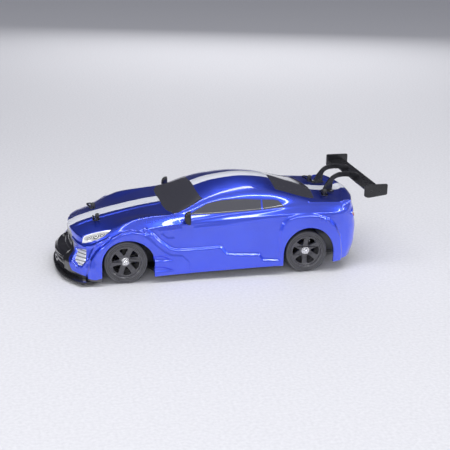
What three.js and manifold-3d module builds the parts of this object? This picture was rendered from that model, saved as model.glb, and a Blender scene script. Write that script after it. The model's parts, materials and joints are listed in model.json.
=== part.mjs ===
// A 1:16 four-wheel-drive radio-controlled drift car: a thin moulded coupe shell over a tub chassis
// with independent swing-arm suspension, slot-and-pin steering and one motor driving a centre shaft.
// Millimetres. +X is forward, +Y is the car's left, +Z is up. The car is drawn with x = 0 midway
// between the axles, then shifted so that the origin is on the ground under the middle of its length.
import * as THREE from "three";
import { mergeVertices } from "three/addons/utils/BufferGeometryUtils.js";
import Module from "manifold-3d";

const wasm = await Module();
wasm.setup();

// ---- driving dimensions -------------------------------------------------------------------------
const WHEELBASE = 174;
const FRAME_SHIFT = 8.5; // puts the origin under the middle of the overall length
const FRONT_X = WHEELBASE / 2;
const REAR_X = -WHEELBASE / 2;
const TYRE_R = 20.5;
const WHEEL_W = 18;
const WHEEL_OUT_Y = 57.5; // outer face of the tyre
const WHEEL_IN_Y = WHEEL_OUT_Y - WHEEL_W;
const AXLE_Z = TYRE_R; // the tyres stand on the ground
const RIM_R = 15.4;
const RIM_BORE_R = 14.2;
const SPOKES = 6;
const HUB_FACE_Y = 49.5; // the rim is clamped between this face and the nut
const SHAFT_BALL_Y = 8.4; // drive-shaft ball inside the gearbox
const GAP = 0.3; // clearance left between pieces that touch on the real car
const SHELL_T = 1.4; // moulded shell wall
const FLOOR_Z0 = 4;
const FLOOR_Z1 = 6.5;
const DECK_Z = FLOOR_Z1 + GAP; // where parts bolted to the tub stand
const ARM_PIVOT_Y = 13;
const ARM_PIVOT_Z = 10;
const KINGPIN_Y = 44;
const STEER_ARM = 15; // kingpin to steering pin, fore and aft
const SHOCK_DX = 10; // shock plane beyond the axle, away from the middle of the car
const SHOCK_TOP = new THREE.Vector3(0, 17, 45.5);
const SHOCK_FOOT = new THREE.Vector3(0, 26, 13);
const SHOCK_LENGTH = SHOCK_TOP.distanceTo(SHOCK_FOOT);
const SHOCK_DOWN = SHOCK_FOOT.clone().sub(SHOCK_TOP).normalize();
const SPRING = { r: 3.45, wireR: 0.45, turns: 4.5, perTurn: 8, top: 4.9, foot: 25 };
const FRONT_POST = { x: 108, y: 17, z: 57 };
const REAR_POST = { x: -113.5, y: 25, z: 72.4 };
const MIRROR = { x: 29.3, y: 59.6, z: 61.4, stalk: 57.6 };
const SPOKE_TURN = { front: -8, rear: 33 }; // degrees the spokes are turned from level at rest
// Wheel openings: how far each reaches ahead of, behind and above its axle.
const FRONT_ARCH = { ahead: 22.8, behind: 26.2, height: 23 };
const REAR_ARCH = { ahead: 24.2, behind: 25.2, height: 26.2 };
const POST_R = 2.2;
const GEAR_MODULE = 1;
const SPUR_TEETH = 24;
const PINION_TEETH = 9;
const MOTOR_Y = -15.9;
const MOTOR_Z = 25.6;
const GEAR_X = -50;

// ---- small tools --------------------------------------------------------------------------------
function toSolid(geometry) {
  const bare = geometry.clone();
  bare.deleteAttribute("normal");
  bare.deleteAttribute("uv");
  const merged = mergeVertices(bare, 1e-4);
  return new wasm.Manifold(
    new wasm.Mesh({
      numProp: 3,
      vertProperties: new Float32Array(merged.attributes.position.array),
      triVerts: new Uint32Array(merged.index.array),
    }),
  );
}

function toGeometry(solid) {
  const mesh = solid.getMesh();
  const positions = new Float32Array(mesh.numVert * 3);
  for (let i = 0; i < mesh.numVert; i++) {
    positions.set(mesh.vertProperties.subarray(i * mesh.numProp, i * mesh.numProp + 3), i * 3);
  }
  const geometry = new THREE.BufferGeometry();
  geometry.setAttribute("position", new THREE.BufferAttribute(positions, 3));
  geometry.setIndex(new THREE.BufferAttribute(new Uint32Array(mesh.triVerts), 1));
  geometry.computeVertexNormals();
  return geometry;
}

const join = (...solids) => solids.reduce((a, b) => a.add(b));
const cut = (solid, ...tools) => tools.reduce((a, b) => a.subtract(b), solid);

function box(x0, x1, y0, y1, z0, z1) {
  const g = new THREE.BoxGeometry(x1 - x0, y1 - y0, z1 - z0);
  return toSolid(g.translate((x0 + x1) / 2, (y0 + y1) / 2, (z0 + z1) / 2));
}

// Sides that make a bar of radius r look round at its size.
function sidesFor(r) {
  if (r < 1.3) return 6;
  if (r < 3) return 10;
  return r < 9 ? 12 : 20;
}

// A round bar of radius r between two points.
function rod(from, to, r, sides = sidesFor(r)) {
  const a = new THREE.Vector3(...from);
  const b = new THREE.Vector3(...to);
  const along = b.clone().sub(a);
  const g = new THREE.CylinderGeometry(r, r, along.length(), sides);
  const turn = new THREE.Quaternion().setFromUnitVectors(
    new THREE.Vector3(0, 1, 0),
    along.clone().normalize(),
  );
  g.applyQuaternion(turn);
  g.translate((a.x + b.x) / 2, (a.y + b.y) / 2, (a.z + b.z) / 2);
  return toSolid(g);
}

function ball(centre, r) {
  return toSolid(new THREE.SphereGeometry(r, 8, 6).translate(...centre));
}

// An outline in two axes, extruded along the third: plane "xy" runs up z, "xz" along y, "yz" along x.
function plate(plane, points, from, to) {
  const shape = new THREE.Shape(points.map(([a, b]) => new THREE.Vector2(a, b)));
  const g = new THREE.ExtrudeGeometry(shape, { depth: to - from, bevelEnabled: false });
  g.translate(0, 0, from);
  if (plane === "xz") {
    g.rotateX(Math.PI / 2); // (a, b, d) becomes (a, -d, b)
    g.translate(0, from + to, 0);
  }
  if (plane === "yz") {
    g.rotateX(Math.PI / 2);
    g.rotateZ(Math.PI / 2); // (a, -d, b) becomes (d, a, b)
  }
  return toSolid(g);
}

// A ring turned about the axle line. The profile lists [radius, y] and closes on itself.
function turnedAboutAxle(profile, sides) {
  const g = new THREE.LatheGeometry(profile.map(([r, y]) => new THREE.Vector2(r, y)), sides);
  return toSolid(g.translate(0, 0, AXLE_Z));
}

// Four-sided wire of radius r along a smooth line through the points.
function wire(points, r, steps) {
  const path = new THREE.CatmullRomCurve3(points.map((p) => new THREE.Vector3(...p)));
  const section = new THREE.Shape([
    new THREE.Vector2(r, 0),
    new THREE.Vector2(0, r),
    new THREE.Vector2(-r, 0),
    new THREE.Vector2(0, -r),
  ]);
  return toSolid(new THREE.ExtrudeGeometry(section, { steps, extrudePath: path, bevelEnabled: false }));
}

// Smooth curve through [x, value] pairs listed from high x to low x, without overshoot.
function curve(pairs) {
  const xs = pairs.map((p) => -p[0]);
  const ys = pairs.map((p) => p[1]);
  const slopes = xs.slice(1).map((x, i) => (ys[i + 1] - ys[i]) / (x - xs[i]));
  const tangents = xs.map((_, i) => {
    if (i === 0) return slopes[0];
    if (i === xs.length - 1) return slopes[slopes.length - 1];
    const [a, b] = [slopes[i - 1], slopes[i]];
    return a * b <= 0 ? 0 : (2 * a * b) / (a + b);
  });
  return (at) => {
    const x = Math.min(Math.max(-at, xs[0]), xs[xs.length - 1]);
    let i = 0;
    while (i < xs.length - 2 && x > xs[i + 1]) i++;
    const h = xs[i + 1] - xs[i];
    const t = (x - xs[i]) / h;
    const [t2, t3] = [t * t, t * t * t];
    return (
      (2 * t3 - 3 * t2 + 1) * ys[i] +
      (t3 - 2 * t2 + t) * h * tangents[i] +
      (3 * t2 - 2 * t3) * ys[i + 1] +
      (t3 - t2) * h * tangents[i + 1]
    );
  };
}

// ---- body shell surface -------------------------------------------------------------------------
const NOSE_X = 134;
const TAIL_X = -141;
const NOSE_SWEEP = 18; // how far the bumper corners sit behind the nose
const TAIL_SWEEP = 14;
const SWEEP_REACH = 45; // the sweep dies out over this length

// Lines that run the length of the car: centreline, roof rail, belt and shoulder.
const LINES = {
  centreZ: curve([
    [134, 43.5], [126, 46.5], [112, 50.5], [87, 56.3], [62, 60.8], [46, 63.2], [30, 70.8], [14, 78.2],
    [-6, 83.6], [-31, 86], [-50, 84.4], [-66, 80.6], [-88, 73.2], [-106, 67.6], [-124, 66], [-141, 67.5],
  ]),
  railY: curve([
    [134, 18], [112, 24], [87, 28], [62, 35], [46, 42], [30, 41.5], [14, 41], [-31, 40], [-66, 37],
    [-88, 34], [-106, 31], [-124, 31], [-141, 31],
  ]),
  railZ: curve([
    [134, 43.2], [112, 49.8], [87, 55.4], [62, 60.4], [46, 61.8], [30, 66.5], [14, 72.4], [-6, 76.6],
    [-31, 78.4], [-50, 77.4], [-66, 74.8], [-88, 70], [-106, 66.8], [-124, 65.6], [-141, 67],
  ]),
  beltY: curve([
    [134, 36], [126, 41], [112, 45], [87, 47], [62, 47.5], [46, 49], [14, 50], [-31, 50], [-66, 49],
    [-88, 48], [-106, 47], [-141, 46],
  ]),
  beltZ: curve([
    [134, 42], [126, 43.6], [112, 46.5], [97, 51.6], [87, 55.6], [77, 58.6], [62, 60.3], [46, 61],
    [14, 62.2], [-31, 63.6], [-66, 65.2], [-88, 66.4], [-106, 65.8], [-124, 65], [-141, 66],
  ]),
  shoulderY: curve([
    [134, 50], [126, 53.5], [112, 57], [98, 58], [87, 58.5], [72, 58], [55, 56.2], [30, 55.6],
    [-30, 55.6], [-60, 56.6], [-75, 59], [-90, 60], [-112, 58.6], [-130, 55.5], [-141, 52.5],
  ]),
  shoulderZ: curve([
    [134, 39.5], [126, 40.5], [112, 43], [98, 47], [87, 50], [72, 51.5], [55, 52.8], [30, 54.6],
    [-30, 57], [-60, 58.6], [-80, 59.8], [-95, 59.6], [-115, 58.4], [-141, 58],
  ]),
  bottomZ: curve([[145, 5], [113, 5], [59, 7], [-63, 9.5], [-113, 11], [-145, 14]]),
};
// How far the walls stand out from the shoulder at shares of the way down to the sill.
const WALL_SHARE = [0, 0.25, 0.5, 0.75, 1];
const SIDE_OUT = [0, 1.1, 1.7, 2.2, 2];
const NOSE_OUT = [0, 3, 6, 9, 10];
const TAIL_OUT = [0, 3, 5.5, 5, 1];
const FLARE_OUT = 2.6; // the wheel-arch flares stand this much prouder
const FLARE_R = 34;

function share(values, t) {
  const at = t * (values.length - 1);
  const i = Math.min(Math.floor(at), values.length - 2);
  return values[i] + (values[i + 1] - values[i]) * (at - i);
}

function sweep(x, v) {
  const front = Math.max(0, 1 - (NOSE_X - x) / SWEEP_REACH) ** 1.5;
  const rear = Math.max(0, 1 - (x - TAIL_X) / SWEEP_REACH) ** 1.5;
  return TAIL_SWEEP * rear * Math.abs(v) ** 1.3 - NOSE_SWEEP * front * Math.abs(v) ** 2.2;
}

// A point on the upper surface at station x, with v from 0 at the centreline to 1 at the shoulder.
function upperPoint(x, v) {
  const knots = [
    [-LINES.railY(x), LINES.railZ(x)],
    [0, LINES.centreZ(x)],
    [LINES.railY(x), LINES.railZ(x)],
    [LINES.beltY(x), LINES.beltZ(x)],
    [LINES.shoulderY(x), LINES.shoulderZ(x)],
  ];
  const a = Math.abs(v) * 3;
  const i = Math.min(Math.floor(a), 2);
  const t = a - i;
  const next = (k, c) => (k < 5 ? knots[k][c] : 2 * knots[4][c] - knots[3][c]);
  const blend = (c) => {
    const [p0, p1, p2, p3] = [knots[i][c], knots[i + 1][c], next(i + 2, c), next(i + 3, c)];
    const [m1, m2] = [(p2 - p0) * 0.42, (p3 - p1) * 0.42];
    const [t2, t3] = [t * t, t * t * t];
    return (2 * t3 - 3 * t2 + 1) * p1 + (t3 - 2 * t2 + t) * m1 + (3 * t2 - 2 * t3) * p2 + (t3 - t2) * m2;
  };
  return [x + sweep(x, v), Math.sign(v) * blend(0), blend(1)];
}

function flare(x, z) {
  const nearest = Math.min(Math.hypot(x - FRONT_X, z - AXLE_Z), Math.hypot(x - REAR_X, z - AXLE_Z));
  const t = Math.min(Math.max((FLARE_R - nearest) / 8, 0), 1);
  return FLARE_OUT * t * t * (3 - 2 * t);
}

// The open sheet: an upper grid of nu by 2 nv cells, with walls of nt rows hung from its edge.
function bodySheet(stations, nv) {
  const vertices = [];
  const faces = [];
  const nu = stations.length - 1;
  const row = 2 * nv + 1;
  for (const x of stations) {
    for (let j = -nv; j <= nv; j++) vertices.push(upperPoint(x, j / nv));
  }
  for (let i = 0; i < nu; i++) {
    for (let j = 0; j < row - 1; j++) {
      const a = i * row + j;
      faces.push([a, a + 1, a + row + 1], [a, a + row + 1, a + row]);
    }
  }
  const edge = [];
  for (let j = 0; j < row; j++) edge.push(j); // along the nose, right to left
  for (let i = 1; i <= nu; i++) edge.push(i * row + row - 1); // down the left side
  for (let j = row - 2; j >= 0; j--) edge.push(nu * row + j); // along the tail
  for (let i = nu - 1; i > 0; i--) edge.push(i * row); // up the right side
  const loop = edge.map((k) => vertices[k]);
  const n = loop.length;
  const normals = loop.map((_, k) => {
    const [before, after] = [loop[(k + n - 1) % n], loop[(k + 1) % n]];
    const [dx, dy] = [after[0] - before[0], after[1] - before[1]];
    const length = Math.hypot(dx, dy);
    return [dy / length, -dx / length];
  });
  let upper = edge;
  for (let level = 1; level < WALL_SHARE.length; level++) {
    const t = WALL_SHARE[level];
    const lower = loop.map(([x, y, z], k) => {
      const [nx, ny] = normals[k];
      const side = share(SIDE_OUT, t);
      const end = nx > 0 ? share(NOSE_OUT, t) : share(TAIL_OUT, t);
      const out = side + (end - side) * nx * nx;
      const height = z + (LINES.bottomZ(x) - z) * t;
      const extra = flare(x, height) * ny * ny;
      vertices.push([x + nx * out, y + ny * (out + extra), height]);
      return vertices.length - 1;
    });
    for (let k = 0; k < n; k++) {
      const m = (k + 1) % n;
      faces.push([upper[k], lower[k], lower[m]], [upper[k], lower[m], upper[m]]);
    }
    upper = lower;
  }
  return { vertices, faces, rim: upper };
}

// Gives an open sheet a wall of thickness t on its inner side.
function thicken({ vertices, faces, rim }, t) {
  const normals = vertices.map(() => new THREE.Vector3());
  for (const [a, b, c] of faces) {
    const [pa, pb, pc] = [a, b, c].map((k) => new THREE.Vector3(...vertices[k]));
    const n = pb.clone().sub(pa).cross(pc.clone().sub(pa));
    for (const k of [a, b, c]) normals[k].add(n);
  }
  const inner = vertices.map((p, k) => {
    const n = normals[k].normalize();
    return [p[0] - n.x * t, p[1] - n.y * t, p[2] - n.z * t];
  });
  for (const k of rim) inner[k][2] = vertices[k][2]; // the bottom edge is level
  const all = [...vertices, ...inner];
  const shift = vertices.length;
  const closed = [...faces, ...faces.map(([a, b, c]) => [c + shift, b + shift, a + shift])];
  rim.forEach((k, i) => {
    const m = rim[(i + 1) % rim.length];
    closed.push([k, k + shift, m + shift], [k, m + shift, m]);
  });
  const g = new THREE.BufferGeometry();
  g.setAttribute("position", new THREE.Float32BufferAttribute(all.flat(), 3));
  g.setIndex(closed.flat());
  return toSolid(g);
}

// Wheel opening: half ellipses ahead of and behind the axle, carried straight down to the sill.
function archTool(x, { ahead, behind, height }) {
  const points = [];
  for (let i = 0; i <= 14; i++) {
    const a = (Math.PI * i) / 14;
    const reach = Math.cos(a) > 0 ? ahead : behind;
    points.push([x + reach * Math.cos(a), AXLE_Z + height * Math.sin(a)]);
  }
  points.push([x - behind, 0], [x + ahead, 0]);
  return join(plate("xz", points, 42, 75), plate("xz", points, -75, -42));
}

function bodyShell() {
  const stations = [
    134, 126, 117, 107, 97, 87, 76, 62, 50, 42, 30, 20, 10, -8, -31, -50, -66, -78, -90, -100, -108,
    -118, -130, -141,
  ];
  const shell = thicken(bodySheet(stations, 5), SHELL_T);
  const holes = [FRONT_POST, REAR_POST].flatMap(({ x, y }) =>
    [y, -y].map((side) => rod([x, side, 30], [x, side, 90], POST_R + 0.6)),
  );
  const outlets = [13, -13].map((y) => rod([-130, y, 21], [-150, y, 21], 4.2));
  return cut(shell, archTool(FRONT_X, FRONT_ARCH), archTool(REAR_X, REAR_ARCH), ...holes, ...outlets);
}

// Splitter under the nose: a flat tray that follows the bumper.
function frontLip() {
  const outline = [];
  const half = 60;
  for (let i = 0; i <= 24; i++) {
    const y = -half + (2 * half * i) / 24;
    outline.push([148 - 20 * Math.abs(y / half) ** 2.8, y]);
  }
  outline.push([117.5, half], [111, 55], [114, 50], [130, 34], [134, 0]);
  outline.push([130, -34], [114, -50], [111, -55], [117.5, -half]);
  return plate("xy", outline, 2.7, 4.7);
}

const WING = { front: -144.5, rear: -160.5, z: 77, thick: 1.8, half: 56.6, rise: 0.8 };
const FIN = { front: -142, rear: -165, low: 71.5, high: 84.6, thick: 1.6 };
const WING_STAY_Y = 15;

function wingBlade() {
  const { front, rear, z, thick, half, rise } = WING;
  const section = [
    [front, z + 0.7], [front - 4, z + thick], [rear, z + thick + rise], [rear, z + 0.5 + rise],
    [front - 6, z],
  ];
  const fin = [
    [FIN.front, FIN.low + 1.5], [FIN.front, FIN.high], [FIN.rear, FIN.high], [FIN.rear, FIN.low + 2.5],
    [FIN.front - 4, FIN.low],
  ];
  return join(
    plate("xz", section, -half, half),
    plate("xz", fin, half - 0.2, half + FIN.thick),
    plate("xz", fin, -half - FIN.thick, -half + 0.2),
  );
}

// Swan-neck stay: it stands on the boot lid and hooks over the blade from above.
function wingStay() {
  const outline = [
    [-113.8, 67.2], [-116.4, 73], [-119.8, 78.4], [-124, 83], [-130, 85.8], [-138, 86.4], [-146, 85.6],
    [-151.5, 83.4], [-151.5, 79.6], [-145, 79.5], [-142, 81], [-135, 81.6], [-128, 80.6],
    [-124.4, 77.5], [-123.8, 67.4],
  ];
  return plate("xz", outline.reverse(), WING_STAY_Y - 1.3, WING_STAY_Y + 1.3);
}

function mirror() {
  const { x, y, z, stalk } = MIRROR;
  const head = toSolid(new THREE.SphereGeometry(1, 10, 8).scale(4, 3.4, 6.8).translate(x, y, z));
  const glassFace = box(x - 6, x - 2, y - 6, y + 6, z - 8, z + 8);
  return join(cut(head, glassFace), rod([x, y - 4, stalk], [x, y - 1.6, stalk], 1.2));
}

// ---- wheels (left side, in a corner frame whose x = 0 is the axle; the right side mirrors it) ------
function tyre() {
  const bore = RIM_R + 0.1;
  const [a, b] = [WHEEL_IN_Y, WHEEL_OUT_Y];
  return turnedAboutAxle(
    [[bore, a], [19.2, a], [TYRE_R, a + 1.6], [TYRE_R, b - 1.6], [19.2, b], [bore, b], [bore, a]],
    24,
  );
}

function rim(turn) {
  const [a, b] = [WHEEL_IN_Y + 0.2, WHEEL_OUT_Y - 0.3];
  const barrel = turnedAboutAxle(
    [[RIM_BORE_R, a], [RIM_R, a], [RIM_R, b], [RIM_BORE_R, b], [RIM_BORE_R, a]],
    24,
  );
  const disc = new THREE.Shape();
  disc.absarc(0, 0, RIM_BORE_R + 0.5, 0, 2 * Math.PI);
  for (let i = 0; i < SPOKES; i++) {
    const middle = (2 * Math.PI * (i + 0.5)) / SPOKES + (turn * Math.PI) / 180;
    const corners = [[6, -0.2], [12.9, -0.38], [12.9, 0.38], [6, 0.2]];
    disc.holes.push(
      new THREE.Path(
        corners.map(([r, a2]) => new THREE.Vector2(r * Math.cos(middle + a2), r * Math.sin(middle + a2))),
      ),
    );
  }
  const g = new THREE.ExtrudeGeometry(disc, { depth: 3, bevelEnabled: false, curveSegments: 14 });
  g.rotateX(Math.PI / 2).translate(0, HUB_FACE_Y + 3, AXLE_Z);
  return cut(join(barrel, toSolid(g)), rod([0, 40, AXLE_Z], [0, 60, AXLE_Z], 1.9));
}

// Stub axle with its drive hex, the flanged wheel nut and the thread end. innerY is where it starts.
function axle(innerY) {
  const face = HUB_FACE_Y;
  return join(
    rod([0, innerY, AXLE_Z], [0, face + 7.2, AXLE_Z], 1.5),
    rod([0, face - 2.6, AXLE_Z], [0, face - GAP, AXLE_Z], 4, 6),
    rod([0, face + 3.3, AXLE_Z], [0, face + 4.1, AXLE_Z], 3.9),
    rod([0, face + 4, AXLE_Z], [0, face + 6.3, AXLE_Z], 3.3, 6),
  );
}

const frontAxle = () => axle(42.2);
const rearAxle = () => join(axle(SHAFT_BALL_Y), ball([0, SHAFT_BALL_Y, AXLE_Z], 2.2));

function halfShaft() {
  return join(
    rod([0, SHAFT_BALL_Y, AXLE_Z], [0, 40.8, AXLE_Z], 1.5),
    ball([0, SHAFT_BALL_Y, AXLE_Z], 2.2),
    ball([0, 40, AXLE_Z], 1.9),
  );
}

// ---- suspension (same corner frame) --------------------------------------------------------------
// out is +1 at the front axle and -1 at the rear: the way that leads away from the car's middle.
function armBase(out) {
  const [y, z] = [ARM_PIVOT_Y, ARM_PIVOT_Z];
  const foot = SHOCK_FOOT;
  return join(
    rod([-10, y, z], [10, y, z], 2.4),
    rod([-14, y, z], [14, y, z], 1),
    plate("xy", [[-10, 13.4], [10, 13.4], [5, 35], [-5, 35]], 8.2, 11.4),
    rod([out * 5, foot.y, foot.z - 1], [out * 8.2, foot.y, foot.z - 1], 2.6),
    rod([out * 5, foot.y, foot.z], [out * (SHOCK_DX + 2.2), foot.y, foot.z], 1),
  );
}

function frontArm() {
  const yoke = join(
    box(-2.6, 4, 34.4, 37.2, 8.2, 33),
    box(-4, 4, 34.4, KINGPIN_Y + 3.4, 8.2, 10.8),
    box(-4, 4, 34.4, KINGPIN_Y + 3.4, 30.2, 33),
  );
  return cut(
    join(armBase(1), yoke),
    rod([0, KINGPIN_Y, 5], [0, KINGPIN_Y, 36], 1.5),
    rod([0, 30, AXLE_Z], [0, 39, AXLE_Z], 3),
  );
}

function rearArm() {
  const hub = join(
    box(-5, 5, 34.4, 45.6, 8.2, AXLE_Z),
    rod([0, 36, AXLE_Z], [0, 45.9, AXLE_Z], 5.6),
  );
  return cut(join(armBase(-1), hub), rod([0, 30, AXLE_Z], [0, 50, AXLE_Z], 1.9));
}

// Steering knuckle: kingpin, axle bearing and a cranked arm that reaches back to the steering bar.
function frontKnuckle() {
  const y = KINGPIN_Y;
  const [bottom, top] = [21, 23.5];
  const [slotIn, slotOut] = [y - 11.6, y - 5.9];
  const body = join(
    box(-5.2, 5.2, y - 3.8, y + 1.9, 14, 27),
    rod([0, y, 11.1], [0, y, 29.9], 2.6),
    rod([0, y, 8.6], [0, y, 32.4], 1.2),
    box(-8.6, -4, y - 5, y + 0.6, bottom, top),
    box(-10.6, -7.8, slotIn - 1.2, y + 0.6, bottom, top),
    box(-22.4, -10, slotOut, slotOut + 1.2, bottom, top),
    box(-22.4, -10, slotIn - 1.2, slotIn, bottom, top),
  );
  return cut(
    body,
    rod([0, y - 8, AXLE_Z], [0, y - 1.4, AXLE_Z], 4.1),
    rod([0, y - 4, AXLE_Z], [0, y + 6, AXLE_Z], 1.9),
  );
}

// A point at distance s down the shock's centre line from its top bolt, for a shock at station x.
function onShock(x, s) {
  return [x, SHOCK_TOP.y + SHOCK_DOWN.y * s, SHOCK_TOP.z + SHOCK_DOWN.z * s];
}

function shockBody(x) {
  return cut(
    join(rod(onShock(x, -1.5), onShock(x, 3.6), 3.9), rod(onShock(x, 3), onShock(x, 17), 2.5)),
    rod(onShock(x, 6), onShock(x, 18), 1.45),
  );
}

function shockRod(x) {
  const [, y, z] = onShock(x, SHOCK_LENGTH);
  return cut(
    join(
      rod(onShock(x, 9), onShock(x, SHOCK_LENGTH - 2), 1.1),
      rod(onShock(x, 26), onShock(x, 27.4), 4.1),
      rod([x - 1.4, y, z], [x + 1.4, y, z], 2.5),
    ),
    rod([x - 3, y, z], [x + 3, y, z], 1.5),
  );
}

function spring(x) {
  const across = new THREE.Vector3(1, 0, 0);
  const third = SHOCK_DOWN.clone().cross(across);
  const steps = SPRING.turns * SPRING.perTurn;
  const points = [];
  for (let i = 0; i <= steps; i++) {
    const a = (2 * Math.PI * i) / SPRING.perTurn;
    const s = SPRING.top + ((SPRING.foot - SPRING.top) * i) / steps;
    const p = new THREE.Vector3(...onShock(x, s));
    p.addScaledVector(across, SPRING.r * Math.cos(a));
    p.addScaledVector(third, SPRING.r * Math.sin(a));
    points.push(p.toArray());
  }
  return wire(points, SPRING.wireR, steps);
}

// ---- chassis ------------------------------------------------------------------------------------
const DOOR = { x0: -40, x1: 30, y0: 8, y1: 43.2 };
const SWITCH = { x: 20.5, y: -25 };

function pivotLugs(axleX) {
  const lugs = [];
  for (const side of [1, -1]) {
    for (const dx of [-14, 11]) {
      const y = side * ARM_PIVOT_Y;
      const block = box(axleX + dx, axleX + dx + 3, y - 2.6, y + 2.6, FLOOR_Z0, 12.8);
      const bore = rod([axleX + dx - 1, y, ARM_PIVOT_Z], [axleX + dx + 4, y, ARM_PIVOT_Z], 1.35);
      lugs.push(cut(block, bore));
    }
  }
  return join(...lugs);
}

function chassisTub() {
  const half = [
    [130, 12], [118, 19], [66, 19], [56, 45], [-56, 45], [-66, 19], [-116, 19], [-138, 16],
  ];
  const outline = [...half.map(([x, y]) => [x, -y]), ...half.slice().reverse()].reverse();
  const floor = plate("xy", outline, FLOOR_Z0, FLOOR_Z1);
  const walls = join(
    box(-55, 55, 43.6, 45, FLOOR_Z0, 13),
    box(-55, 55, -45, -43.6, FLOOR_Z0, 13),
    box(-44, 34, 5.2, 6.8, FLOOR_Z0, 12), // battery bay, inner wall
    box(-44, -42, 5.2, 45, FLOOR_Z0, 12),
    box(32, 34, 5.2, 45, FLOOR_Z0, 12),
    box(-11, -8, -30, -4, FLOOR_Z0, 12), // stiffening ribs
  );
  const saddles = cut(
    join(
      box(-40, -36, -29, -3.4, FLOOR_Z0, MOTOR_Z - 2),
      box(-21, -17, -29, -3.4, FLOOR_Z0, MOTOR_Z - 2),
    ),
    rod([-60, MOTOR_Y, MOTOR_Z], [0, MOTOR_Y, MOTOR_Z], 12.5),
  );
  const openings = join(
    box(DOOR.x0 - 0.4, DOOR.x1 + 0.4, DOOR.y0 - 0.4, DOOR.y1 + 0.2, 3, 7),
    box(SWITCH.x - 3, SWITCH.x + 7.4, SWITCH.y - 2.6, SWITCH.y + 2.6, 3, 7),
  );
  return cut(join(floor, walls, saddles, pivotLugs(FRONT_X), pivotLugs(REAR_X)), openings);
}

function batteryDoor() {
  const { x0, x1, y0, y1 } = DOOR;
  const grooves = [14, 26, 38, 50].map((dx) => box(x0 + dx, x0 + dx + 3, y0 + 6, y1 - 6, 3.5, 4.8));
  return cut(box(x0, x1, y0, y1 - 0.2, FLOOR_Z0 + 0.1, FLOOR_Z1 - 0.4), ...grooves);
}

// Recessed slider with a thumb rib.
function powerSwitch() {
  const { x, y } = SWITCH;
  return join(box(x - 2, x + 2, y - 2, y + 2, 4.8, 6.3), box(x - 0.5, x + 0.5, y - 2, y + 2, 4.2, 5));
}

// Gearbox case with the drive-shaft ports on both sides and the centre-shaft port facing inwards.
function gearbox(axleX, out) {
  const [a, b] = out > 0 ? [-13, 12] : [-12, 13];
  const lower = box(axleX + a, axleX + b, -10.2, 10.2, DECK_Z, 27);
  const dome = rod([axleX, -10.2, AXLE_Z], [axleX, 10.2, AXLE_Z], 12);
  const inner = axleX - out * 13;
  const nose = rod([inner, 0, AXLE_Z], [inner - out * 3, 0, AXLE_Z], 5);
  const port = (side) => rod([axleX, side * 5, AXLE_Z], [axleX, side * 12, AXLE_Z], 3.4);
  const shaftPort = rod([inner + out * 6, 0, AXLE_Z], [inner - out * 5, 0, AXLE_Z], 2.5);
  return cut(join(lower, dome, nose), port(1), port(-1), shaftPort);
}

// Upright plate that holds the shock tops, with a shelf for the two body posts.
function tower(axleX, out, post, shelfZ) {
  const near = axleX + out * (SHOCK_DX + 4.3);
  const far = near + out * 3;
  const outline = [
    [-16, DECK_Z], [16, DECK_Z], [13, 30], [22, 40], [22, 49], [12, 49], [9, 42], [-9, 42], [-12, 49],
    [-22, 49], [-22, 40], [-13, 30],
  ];
  const upright = plate("yz", outline, Math.min(near, far), Math.max(near, far));
  const [x0, x1] = [Math.min(near, post.x - 3), Math.max(near, post.x + 3)];
  const shelf = box(x0, x1, -post.y - 3, post.y + 3, shelfZ, shelfZ + 3);
  const posts = [post.y, -post.y].map((y) =>
    cut(
      rod([post.x, y, shelfZ + 1], [post.x, y, post.z], POST_R),
      rod([post.x, y - 4, post.z - 3.6], [post.x, y + 4, post.z - 3.6], 0.95),
    ),
  );
  return join(upright, shelf, ...posts);
}

function bumperFoam() {
  const outline = [];
  for (let i = 0; i <= 12; i++) {
    const y = -42 + 7 * i;
    outline.push([131.5 - 12 * Math.abs(y / 42) ** 2.2, y]);
  }
  outline.push([112, 42], [112, 34], [119.6, 30], [119.6, -30], [112, -34], [112, -42]);
  return join(plate("xy", outline, 11, 22), box(117, 124, -16, 16, DECK_Z, 12));
}

function motor() {
  const at = (x) => [x, MOTOR_Y, MOTOR_Z];
  return cut(
    join(rod(at(-44), at(-13), 12.2), rod(at(-13.5), at(-11), 5), rod(at(-46), at(-43), 4.2)),
    box(-42, -15, -30, -2, MOTOR_Z + 10, MOTOR_Z + 14),
    box(-42, -15, -30, -2, MOTOR_Z - 14, MOTOR_Z - 10),
    rod(at(-50), at(-40), 1.5),
  );
}

// A toothed wheel about the X axis. phase turns it, in radians.
function gear(x0, x1, y, z, teeth, phase) {
  const pitch = (GEAR_MODULE * teeth) / 2;
  const [root, tip] = [pitch - 1.2, pitch + 0.8];
  const points = [];
  for (let i = 0; i < teeth; i++) {
    const a = phase + (2 * Math.PI * i) / teeth;
    const step = (2 * Math.PI) / teeth;
    for (const [r, da] of [[root, -0.31], [tip, -0.13], [tip, 0.13], [root, 0.31]]) {
      points.push([y + r * Math.cos(a + da * step), z + r * Math.sin(a + da * step)]);
    }
  }
  return plate("yz", points, x0, x1);
}

// Where the line between the two gear centres points, seen along +X.
const MESH_ANGLE = Math.atan2(MOTOR_Z - AXLE_Z, MOTOR_Y);

function centreShaft() {
  const tooth = (2 * Math.PI) / SPUR_TEETH;
  return join(
    rod([-72, 0, AXLE_Z], [72, 0, AXLE_Z], 1.9),
    rod([GEAR_X - 4, 0, AXLE_Z], [GEAR_X + 5, 0, AXLE_Z], 4),
    gear(GEAR_X - 2.2, GEAR_X + 2.2, 0, AXLE_Z, SPUR_TEETH, MESH_ANGLE + tooth / 2),
  );
}

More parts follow.
